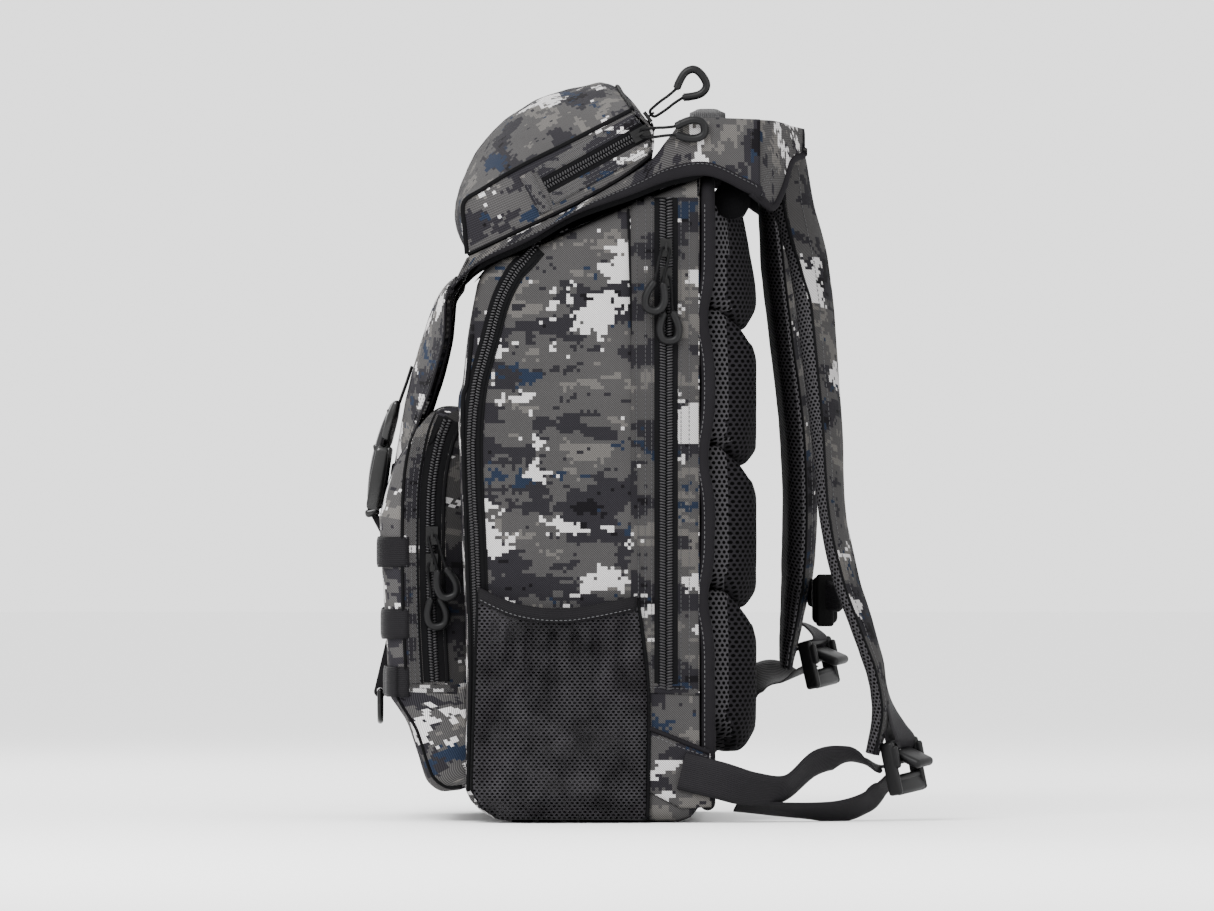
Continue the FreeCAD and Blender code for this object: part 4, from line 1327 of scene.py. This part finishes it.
# The hood's side seam and its crown, from the foot of its front to its rear seam.
HOOD_EDGE = [(-81.5, 375), (-83, 392), (-83.5, 409), (-71, 418), (-47, 432.5), (-14, 449), (21, 467),
             (27, 470)]
HOOD_CROWN = [(-81, 375.5), (-90, 395), (-88.5, 416), (-74, 449), (-41, 478.5), (0, 491.5), (10, 491.5),
              (17, 488.5)]
HOOD_BASE = [(-81, 374), (-34, 396), (-7, 409), (21, 425), (41, 440)]
HOOD_ZIP = [(-30, 420), (38, 457)]


def make_hood():
    """The raised pocket of the lid: an arched top, two sides and a rear."""
    edge = by_length(smooth_side(HOOD_EDGE, 2), 90)
    crown = by_length(smooth_side(HOOD_CROWN, 2), 90)
    rows = []
    for i, (e, c) in enumerate(zip(edge, crown)):
        row = []
        for j in range(73):
            f = 2.0 * j / 72 - 1.0
            p = e + (c - e) * (1 - abs(f) ** 2.3)
            x = HOOD_HALF * f
            soft = 1.3 * fbm((x * 0.5, i * 2.2, 19), 40) * (1 - f ** 8)
            out = Vector((0, p.y + 10, p.z - 395)).normalized() * soft
            row.append((x, p.y + out.y, p.z + out.z))
        rows.append(row)
    top = grid("hood_top", rows, None, 1.6, (0, -20, 380))
    dress(top, "camo_hood", "lid", ["hood_shell"])
    rear_tree = make_hood_rear(rows[-1])
    side_edge = [row[-1] for row in rows]
    foot = by_length(HOOD_BASE + [(39, 455), (27, 469)], 60)
    head = by_length([p[1:] for p in side_edge[8:]], 60)
    side = []
    for k in range(18):
        v = k / 17
        row = []
        for i in range(60):
            p = foot[i].lerp(head[i], v)
            u = i / 59
            swell = 0.9 * math.sin(math.pi * u) ** 0.5 * math.sin(math.pi * v) ** 0.6
            soft = 0.4 * fbm((p.y, p.z, 31), 30) * math.sin(math.pi * v)
            row.append((HOOD_HALF + swell + soft, p.y, p.z))
        side.append(row)
    for sign, hand in HANDS:
        make_hood_side(sign, hand, side if sign > 0 else mirrored(side), side_edge)
    across = [Vector((x, 60, 474)) for x in range(-136, 137, 4)]
    zip_on("hood_zip_rear", rear_tree, across, (0, -0.8, -0.6), "lid", 2.9, 12.0, lift=1.0)
    path = [Vector((x, y + 0.6, z + 0.4)) for x, y, z in rows[-1]]
    cord_edge("hood_rear_seam", path, 1.5, body="lid")


def make_hood_rear(edge):
    """The hood's rear, from its top edge down to the lid, bulging rearward; returns its surface."""
    rows = []
    for k in range(14):
        v = k / 13
        bulge = 7.8 * math.sin(math.pi * v ** 0.8) * (1 if v < 1 else 0)
        rows.append([tuple(Vector(p).lerp(Vector((p[0], 41, 440)), v) + Vector((0, bulge, 0))) for p in edge])
    rear = grid("hood_rear", rows, None, 1.6, (0, -20, 440))
    dress(rear, "camo_gusset", "lid")
    return tree_of(rear)


def make_hood_side(sign, hand, rows, edge):
    """One side of the hood, printed along its zip, with its seams, strips and zip."""
    (y0, z0), (y1, z1) = HOOD_ZIP
    along = Vector((0, y1 - y0, z1 - z0)).normalized()
    rise = Vector((0, -along.z, along.y))
    slope = []
    for row in rows:
        for _, y, z in row:
            slope.append(((y * along.y + z * along.z) * MM, (z * along.y - y * along.z + sign * 40) * MM))
    panel = grid("hood_side_" + hand, rows, slope, 1.6, (0, -20, 400))
    dress(panel, "camo_hood", "lid")
    tree = tree_of(panel)
    way = (-sign, 0, 0)
    path = [Vector((sign * (abs(x) + 0.3), y, z)) for x, y, z in edge]
    cord_edge("hood_seam_" + hand, path, 1.5, body="lid")
    low = side_line([(y, z + 0.8) for y, z in HOOD_BASE], sign)
    piping_on("hood_foot_" + hand, tree, low, way, 1.1, 0.6, "lid")
    line = side_line(HOOD_ZIP, sign, smooth=False)
    zip_on("hood_zip_" + hand, tree, line, way, "lid", 2.9, 12.5, ["hood_zip"] if sign > 0 else (), 0.2)
    upper = 1 if shifted(line, way, 1.0)[0].z > line[0].z else -1
    strip_on("hood_strip_upper_" + hand, tree, line, way, upper * 9.5, 8.0, "camo_hood", "lid",
             seams=(-0.55 * upper, 0.5 * upper))
    strip_on("hood_strip_lower_" + hand, tree, line, way, -upper * 10.0, 8.5, "camo_hood", "lid",
             seams=(-0.6, 0.0, 0.6))
    stop = Vector((sign * 170, y0, z0)) - along * 7.5
    tab = [stop + rise * t for t in range(-15, 15, 2)]
    strip_on("hood_zip_tab_" + hand, tree, tab, way, 0, 9.0, "camo_hood", "lid", 2.0, (-0.6, 0.6))


TONGUE = [(-90, 362, 120, 2), (-102, 350, 110, 8), (-113, 320, 98, 16), (-121.5, 290, 84, 16),
          (-127, 262, 60, 11), (-131.5, 236, 32, 5)]


TONGUE_RING = ((-7.5, 0.4), (-7.0, 1.5), (0.0, 1.7), (1.1, 0.2), (1.1, -1.6), (0.0, -3.6), (-7.0, -3.6),
               (-7.5, -2.4))


def make_tongue():
    """The tapering front tongue, curled back along its bound edges."""
    stations = spline(TONGUE, 60)
    rows = []
    for y, z, half, curl in stations:
        row = []
        for j in range(41):
            f = 2.0 * j / 40 - 1.0
            soft = 0.8 * fbm((f * half * 0.7, z, 43), 34)
            row.append((half * f, y + curl * abs(f) ** 2.2 + soft, z - 2.0 * f * f))
        rows.append(row)
    flap = grid("tongue_sheet", rows, None, 2.2, (0, 60, 300))
    dress(flap, "camo_front", "lid", ["tongue"])
    path = [Vector(row[0]) for row in rows] + [Vector(p) for p in rows[-1][1:]]
    path += [Vector(row[-1]) for row in reversed(rows[:-1])]
    sections = []
    for (_, side, out), p in zip(frames(path, [Vector((0, -1, 0.2))] * len(path)), path):
        sections.append([tuple(p - side * inward + out * rise) for inward, rise in TONGUE_RING])
    mids = sum((Vector(r[0]) for r in sections), Vector()) / len(sections)
    outside = sum((Vector(r[2]) for r in sections), Vector()) / len(sections)
    band = grid("tongue_binding", sections, None, 0, tuple(mids + (mids - outside)))
    trim(band, "binding", "lid")
    tree = tree_of(band, flap)
    for k, inset in enumerate((0.94, 0.86)):
        for sign, hand in HANDS:
            line = [Vector((sign * half * inset, y - 60, z)) for y, z, half, _ in stations[2:-2]]
            stitches_on("tongue_stitch_%s_%d" % (hand, k), tree, line, (0, 1, 0), 3.0, 2.2, 0.15, body="lid")


def make_handle():
    """The carry handle: a webbing arch with a rolled grip and sewn-down ends."""
    arch = [(-82, 465.6), (-70, 465.6), (-56, 470), (-30, 471), (0, 471), (30, 471), (56, 470),
            (70, 465.6), (82, 465.6)]
    path = curve([(x, 78, z) for x, z in arch], 2)
    width = [24 - 7 * math.exp(-(p.x / 42) ** 4) for p in path]
    thick = [2.2 + 4.2 * math.exp(-(p.x / 42) ** 4) for p in path]
    handle = strap_mesh("carry_handle_web", path, [Vector((0, 1, 0))] * len(path), width, thick)
    dress(handle, "webbing", "lid", ["carry_handle"])


# ---------- yoke ----------
YOKE = [(106, 154, 415, 464), (114, 149, 409, 463.6), (121, 140, 406, 463.3), (128, 128, 420, 462),
        (133, 118, 436, 460.5), (141, 104, 441, 459)]


def make_yoke():
    """The top of the back behind the lid, with its sides, folded rear edge and web to the back."""
    stations = spline(YOKE, 30)
    rows = [hem_profile((y, high), (y, low), half, 6.0, 24, 12) for y, half, low, high in stations]
    top = grid("yoke_skin", rows, middle_uv(rows), 2.2, (0, 110, 430))
    lined(top, "camo_lid", "pack", ["yoke"])
    tree = tree_of(top)
    closed = [[(x, y + 1.0 + (0.4 if k == 1 else 0.0), z - (z - 441) * k / 6.0) for x, y, z in rows[-1]]
              for k in range(7)]
    # The rear fold takes the half-bright camo: painted shade.
    dress(grid("yoke_rear_fold", closed, None, 1.5, (0, 100, 450)), "camo_dim", "pack")
    web = []
    for k in range(10):
        v = k / 9
        y = 111 - 27 * v - 4 * math.sin(math.pi * v)
        web.append([(x, y, 461 - 47 * v) for x in range(-124, 125, 8)])
    trim(grid("yoke_web", web, None, 1.5, (0, 140, 380)), "lining")
    roll = tube("yoke_roll", [Vector((x, 93.5, 411)) for x in range(-126, 127, 6)], 12.5, 20)
    dress(roll, "lining", "pack")
    for sign, hand in HANDS:
        rim = [Vector((sign * (half + 1.0), y, low)) for y, half, low, _ in stations]
        cord_edge("yoke_rim_" + hand, rim, 2.4, 10, "binding")
        for k, start in enumerate((0.0, 5.0)):
            line = even([(sign * 190, 108 + start, 414), (sign * 190, 137 + start * 0.6, 458)], 2)
            stitches_on("yoke_stitch_%s_%d" % (hand, k), tree, line, (-sign, 0, 0), 3.0, 2.3, 0.2)


# ---------- shoulder straps ----------
STRAP_RIGHT = [(129, 445, 46, 74, 26), (135, 410, 50, 72, 27), (146, 370, 57, 70, 23),
               (152, 320, 66, 70, 21), (157.5, 262, 75, 68, 18), (161.5, 205, 86, 66, 15),
               (169.5, 165, 93, 62, 14), (180, 130, 98, 56, 13), (189, 100, 101, 48, 12),
               (192.5, 70, 102, 42, 11), (187, 44, 102, 36, 9)]
STRAP_LEFT = [(122, 440, -46, 70, 20), (124, 410, -52, 70, 20), (126, 370, -58, 70, 19),
              (132, 320, -66, 70, 19), (139.5, 262, -75, 68, 21), (142, 205, -86, 66, 21),
              (140.5, 165, -93, 62, 20), (138, 143, -97, 56, 16), (135, 120, -100, 48, 12),
              (132.5, 98, -101, 42, 8)]


def make_shoulder_strap(hand, sections):
    """A padded strap: printed cloth outside, mesh inside and round the edges, joined by piping."""
    centre = spline([(x, y, z, w, t) for y, z, x, w, t in sections], 120)
    path = [Vector(p[:3]) for p in centre]
    ring = 36
    lean = 5.0 if hand == "right" else -3.0
    rows = []
    for i, (_, _, z, width, thick) in enumerate(centre):
        tangent = tangent_at(path, i)
        side = Vector((1, 0, 0))
        side = (side - tangent * side.dot(tangent)).normalized()
        out = side.cross(tangent)
        if out.y < 0:
            out = -out
        twist = lean * smooth_step((430 - z) / 60) * smooth_step((z - 70) / 90)
        row = []
        for k in range(ring + 1):
            a = 2 * math.pi * k / ring
            across = rounded(math.cos(a), 0.8)
            soft = 0.6 * fbm((i * 1.7, across * 22, a * 2), 16)
            if rounded(math.sin(a), 0.75) >= 0:
                lift = thick * (0.62 * (1 - abs(across) ** 2.4) - 0.10)
            else:
                lift = thick * (0.40 * abs(across) ** 7 - 0.50)
            lift += soft * (1 - abs(across) ** 6) - twist * across
            row.append(tuple(path[i] + side * (across * width / 2) + out * lift))
        rows.append(row)
    uvs = [(u + (0.7 if hand == "left" else 0.0), v) for u, v in lengths_uv(rows)]
    strap = grid("shoulder_strap_%s_body" % hand, rows, uvs, 0, tuple(path[60]))
    faces_out(strap, path)
    dress(strap, ["camo_strap", "spacer_edge"], "pack", ["shoulder_strap_" + hand])
    borders = []
    for p in path:
        wrap = 3.0 - 4.5 * smooth_step((p.z - 335) / 45)
        borders.append((wrap, ring / 2 - 3.0) if hand == "right" else (3.0, ring / 2 - wrap))
    for i, (low, high) in enumerate(borders[:-1]):
        for j in range(ring):
            middle = j + 0.5 - (ring if j > ring * 0.75 else 0)
            if not low < middle < high:
                strap.data.polygons[i * ring + j].material_index = 1
    for k in range(2):
        line = []
        for row, border in zip(rows, borders):
            at = border[k] % ring
            line.append(Vector(row[int(at)]).lerp(Vector(row[int(at) + 1]), at - int(at)))
        cord_edge("strap_%s_piping_%d" % (hand, k), line, 1.1)
    tree = tree_of(strap)
    for k, column in enumerate((5, 13)):
        line = [Vector(row[column]) + Vector((0, 60, 0)) for row in rows[3:-2]]
        stitches_on("strap_%s_stitch_%d" % (hand, k), tree, line, (0, -1, 0), 3.2, 2.4, 0.15)


def faces_out(obj, path):
    """Turn a strap's faces outward: away from the nearest point of its path."""
    mesh = obj.data
    total = 0.0
    for polygon in list(mesh.polygons)[::37]:
        spot = polygon.center / MM
        near = min(path, key=lambda p: (p - spot).length)
        total += polygon.normal.dot(spot - near)
    if total < 0:
        mesh.flip_normals()


# ---------- webbing and hardware ----------
RUN_RIGHT = [(153.2, 60, 34, 90, 0), (154, 84, 28, 85, 0), (148, 106, 22, 62, 0),
             (137, 128, 22, 42, 5), (125, 148, 38, 38, 12), (114, 166, 41.5, 24, 24),
             (104, 180, 38.5, 8, 32), (97.5, 191, 35.5, 0, 35), (99.5, 199.5, 36, 0, 35)]
TAIL_RIGHT = [(99.5, 201, 28.5, 0, 35), (97, 193, 21, 0, 35), (100, 183, 12, 12, 33),
              (106, 168, 6.8, 25, 26), (116, 147, 6.8, 24, 14), (125, 119, 8.5, 22, 5),
              (129, 97, 11.5, 26, 0)]
RUN_LEFT = [(-153.2, 60, 36, -90, 0), (-154.2, 80, 52, -87, 0), (-152, 98, 76, -80, 0),
            (-146, 112, 89, -66, 0), (-132, 123, 92, -45, 8), (-116, 135, 91, -12, 20),
            (-107, 144.5, 96.5, 0, 28), (-104.5, 149, 99, 0, 28)]
# Loops that tie a strap's end to its ladder lock.
LOOP_RIGHT = [(101, 194.5, 96, 0, 0), (101, 197.5, 80, 0, 8), (102, 203.5, 64, 0, 25),
              (102.5, 208.5, 54, 0, 35), (102, 206.5, 48.5, 0, 35), (101, 202, 53, 0, 35),
              (101, 196, 66, 0, 10)]
LOOP_LEFT = [(-100.5, 139.5, 128, 0, 0), (-101, 145, 127, 0, 8), (-102, 152, 122, 0, 20),
             (-102, 155, 117, 0, 28), (-102.5, 152, 112, 0, 28), (-102, 147, 113.5, 0, 20),
             (-101, 138.5, 110, 0, 0)]
WEB_WIDTH = 25.0


def make_web(name, stations, replaces=()):
    """A length of webbing through stations of (x, y, z, tilt, turn), with angles in degrees."""
    smooth = spline(stations, 20 * (len(stations) - 1))
    path = [Vector(s[:3]) for s in smooth]
    across = []
    for s in smooth:
        tilt, turn = math.radians(s[3]), math.radians(s[4])
        level = Vector((math.cos(turn), -math.sin(turn), 0))
        across.append(level * math.cos(tilt) + Vector((0, 0, math.sin(tilt))))
    web = strap_mesh(name, path, across, WEB_WIDTH, 2.0, 0.3)
    dress(web, "webbing_grey", "pack", replaces)


def make_wings():
    """The triangular side wings that hold the lower webbing, with a bound edge and a camo fold."""
    flat = patch([(39, 20), (39, 62)], [(80, 10), (79, 46)], [(39, 20), (60, 9), (80, 10)],
                 [(39, 62), (79, 46)], 22, 22)
    for sign, hand in HANDS:
        rows = [[(sign * (HALF + 1.2 + 1.6 * i / 21 * (j / 21)), p.y, p.z) for j, p in enumerate(row)]
                for i, row in enumerate(flat)]
        wing = grid("strap_wing_" + hand, rows, [(y * MM, z * MM + 0.31) for r in rows for _, y, z in r], 1.4)
        dress(wing, "camo_gusset", "pack", ["strap_wings"] if sign > 0 else ())
        cord_edge("strap_wing_edge_" + hand, rows[-1], 1.6, 8, "binding")
        row = [Vector((sign * 190, y, z)) for _, y, z in rows[-3]]
        stitches_on("strap_wing_stitch_" + hand, tree_of(wing), row, (-sign, 0, 0), 3, 2.2, 0.1,
                    "thread_pale")


def make_sternum_webs():
    """The two webs from the straps to the chest buckle."""
    lines = (("right", (74, 168, 150), (17, 158, 149)), ("left", (-84, 147.5, 150), (-17, 158, 149)))
    for hand, a, b in lines:
        middle = [(a[0] + b[0]) / 2, (a[1] + b[1]) / 2 + 2, 147]
        path = [Vector(p) for p in spline([a, tuple(middle), b], 24)]
        web = strap_mesh("sternum_web_" + hand, path, [Vector((0, 0, 1))] * 24, 19.0, 1.8, 0.3)
        dress(web, "webbing", "pack", ["sternum_strap"] if hand == "right" else ())


def block(centre, size, round_off=0.8, x=(1, 0, 0), z=(0, 0, 1)):
    """A box with rounded edges, as (verts, faces), with its own x and z directions."""
    work = bmesh.new()
    bmesh.ops.create_cube(work, size=1.0)
    for v in work.verts:
        v.co = Vector(a * b for a, b in zip(v.co, size))
    bmesh.ops.bevel(work, geom=list(work.edges), offset=round_off, segments=4, affect="EDGES", profile=0.5)
    place = basis(Vector(centre), Vector(x), Vector(z))
    verts = [place @ v.co for v in work.verts]
    faces = [tuple(v.index for v in f.verts) for f in work.faces]
    work.free()
    return verts, faces


def slab(stations, ring=28, power=0.45):
    """A lofted plate, as (verts, faces): stations of (y, z, half width, thickness)."""
    middle = [Vector((0, y, z)) for y, z, _, _ in stations]
    verts = []
    for i, (_, _, half, thick) in enumerate(stations):
        out = Vector((1, 0, 0)).cross(tangent_at(middle, i))
        for k in range(ring):
            a = 2 * math.pi * k / ring
            x = rounded(math.cos(a), power) * half
            verts.append(middle[i] + Vector((x, 0, 0)) + out * (rounded(math.sin(a), power) * thick / 2))
    return verts, ring_faces(len(stations), ring)


def joined(name, parts):
    """Several (verts, faces) as one mesh, with its faces turned outward."""
    verts, faces = [], []
    for part_verts, part_faces in parts:
        base = len(verts)
        verts += part_verts
        faces += [tuple(base + i for i in face) for face in part_faces]
    obj = new_mesh(name, verts, faces)
    work = bmesh.new()
    work.from_mesh(obj.data)
    bmesh.ops.recalc_face_normals(work, faces=work.faces)
    work.to_mesh(obj.data)
    work.free()
    return obj


def rounded_ends(stations):
    """Stations of a slab with its two ends closed in a quarter round."""
    def cap(end, inner, steps):
        y, z, half, thick = end
        away = Vector((0, y - inner[0], z - inner[1])).normalized()
        out = []
        for a in steps:
            push = thick / 2 * (math.sin(a) - 1)
            scale = max(math.cos(a), 0.02)
            out.append((y + away.y * push, z + away.z * push, half - thick / 2 * (1 - scale), thick * scale))
        return out
    quarter = [math.pi / 2 * k / 4 for k in range(5)]
    return cap(stations[0], stations[1], quarter[::-1]) + list(stations[1:-1]) + \
        cap(stations[-1], stations[-2], quarter)


def make_buckle():
    """The front buckle: a socket on the pocket, and a plug on the tongue behind a long shield."""
    shield = spline([(-131.5, 277.5, 12, 4.2), (-137.6, 262, 14, 5.4), (-142.2, 246, 14.8, 6.2),
                     (-145.6, 230, 15.0, 6.0), (-148.0, 212, 13.5, 4.2)], 18)
    front = joined("buckle_shield", [slab(rounded_ends(shield))])
    dress(front, "shield", "lid")
    parts = [slab(rounded_ends([(-129.5, 279, 17, 6), (-133, 268, 17, 8.5), (-136.6, 254.5, 16.5, 9.0),
                                 (-137.4, 251.5, 11.5, 9.0), (-139.2, 244, 11.5, 7.5)]))]
    for x in (-12.0, 12.0):
        parts.append(block((x, -141.5, 238), (5.0, 4.2, 24), 1.6, z=(0, -0.22, 1)))
    parts.append(block((0, -141.0, 243), (8, 3.0, 14), 1.0, z=(0, -0.22, 1)))
    for z, y in ((272, -136.2), (267, -137.6), (262, -139)):
        parts.append(block((0, y + 1.2, z), (24, 3.2, 2.2), 0.9))
    tab = [Vector(p) for p in spline([(0, -119.8, 302), (0, -123.0, 292), (0, -126.6, 282), (0, -130.2, 272),
                                      (0, -133.0, 264)], 16)]
    web = strap_mesh("buckle_plug_web", tab, [Vector((1, 0, 0))] * 16, WEB_WIDTH, 2.0, 0.3)
    dress(web, "webbing", "lid")
    plug = joined("buckle_plug_body", parts)
    dress(plug, "buckle", "lid", ["buckle_plug"])
    parts = [slab(rounded_ends([(-134.6, 248, 17, 4.6), (-137.6, 229, 17, 5.0), (-141.4, 206.5, 17, 5.2)]))]
    rail = [(-138.6, 249, 2.4, 9), (-142.2, 229, 2.4, 10), (-146.2, 204, 2.4, 9.6)]
    verts, faces = slab(rounded_ends(rail))
    for x in (-15.2, 15.2):
        parts.append(([v + Vector((x, 0, 0)) for v in verts], faces))
    parts.append(block((0, -146.4, 203.8), (34, 9.4, 5.6), 2.2, z=(0, -0.22, 1)))
    parts.append(block((0, -144.0, 213), (29, 4.2, 5.0), 1.4, z=(0, -0.22, 1)))
    socket = joined("buckle_socket_body", parts)
    dress(socket, "buckle", "pack", ["buckle_socket"])


def make_ladder_lock(hand, x, top, foot, turn):
    """A ladder lock: two rails, three bars with ribs, and a finger tab, turned about its length."""
    along = Vector((0, foot[0] - top[0], foot[1] - top[1]))
    length = along.length
    along.normalize()
    turn = math.radians(turn)
    across = Vector(OUT) * math.cos(turn) + along.cross(Vector(OUT)) * math.sin(turn)
    out = across.cross(along)
    start = Vector((x, top[0], top[1]))
    parts = []

    def bar(at, size, round_off, z=along, aside=0.0, lift=0.0):
        spot = start + along * at + across * aside + out * lift
        parts.append(block(spot, size, round_off, across, z))

    for side in (-1, 1):
        bar(length / 2, (4.6, 10.5, length), 2.25, aside=side * 14.8)
        bar(length * 0.3, (4.0, 13.0, length * 0.42), 1.95, aside=side * 14.8, lift=1.5)
    for at, deep, tall in ((2.5, 8.0, 5.4), (13.2, 9.0, 5.6), (25.0, 8.0, 5.0)):
        bar(at, (30, deep, tall), 2.4)
    bar(length - 6.0, (33, 6.0, 13), 2.9, along + out * 0.25, lift=1.2)
    lean = out * 0.9 + along * 0.55
    bar(13.5, (20, 6.4, 22), 3.15, lean, lift=9.0)
    for k in range(4):
        bar(13.5 + k * 1.9, (17, 1.6, 1.6), 0.6, lean, lift=7.5 + 3.1 * k)
    lock = joined("ladder_lock_%s_frame" % hand, parts)
    dress(lock, "rubber", "pack", ["ladder_lock_" + hand])


def make_sternum_buckle():
    """The chest buckle: a socket with side windows and a plug with two squeeze prongs."""
    parts = [block((4, 157, 145), (23, 17, 32), 4.5), block((-10, 157, 145), (13, 13, 27), 3.6)]
    for z, lean in ((132.5, -0.12), (157.5, 0.12)):
        parts.append(block((-4, 157, z), (19, 9, 6.0), 2.6, x=(1, 0, lean)))
    parts.append(block((16, 157, 145), (5, 12, 35), 2.3))
    parts.append(block((-16.4, 157, 145), (4, 10, 33), 1.9))
    buckle = joined("sternum_buckle_body", parts)
    dress(buckle, "dull_plastic", "pack", ["sternum_buckle"])


def finish_nodes():
    """Give the hardware that stays as designed its material."""
    looks = {"divider": "lining", "frame_sheet": "board", "base_board": "board", "web_tabs": "webbing"}
    for name in ["d_ring", "main_slider_right", "main_slider_left"] + [name + "_slider" for name in PULLS]:
        looks[name] = "metal"
    for name, material in looks.items():
        node = NODES[name]
        node.data.materials.clear()
        node.data.materials.append(MATERIALS[material])


# ---------- build ----------
make_camera()
make_pulls()
make_studio()
trees = make_body()
make_body_trims(trees)
make_binding()
make_pads()
pocket_tree = make_front_pocket()
make_webbing_rows(pocket_tree)
make_mesh_pockets()
make_lid()
make_hood()
make_tongue()
make_handle()
make_yoke()
make_shoulder_strap("right", STRAP_RIGHT)
make_shoulder_strap("left", STRAP_LEFT)
make_web("strap_web_right_run", RUN_RIGHT, ["strap_web_right"])
make_web("strap_web_right_tail", TAIL_RIGHT)
make_web("strap_web_left_run", RUN_LEFT, ["strap_web_left"])
make_wings()
make_sternum_webs()
make_buckle()
make_web("strap_loop_right", LOOP_RIGHT)
make_web("strap_loop_left", LOOP_LEFT)
make_ladder_lock("right", 102, (204.2, 53.5), (211.2, 18.5), 35)
make_ladder_lock("left", -102, (151.2, 117.5), (158.2, 85.5), 28)
make_sternum_buckle()
finish_nodes()
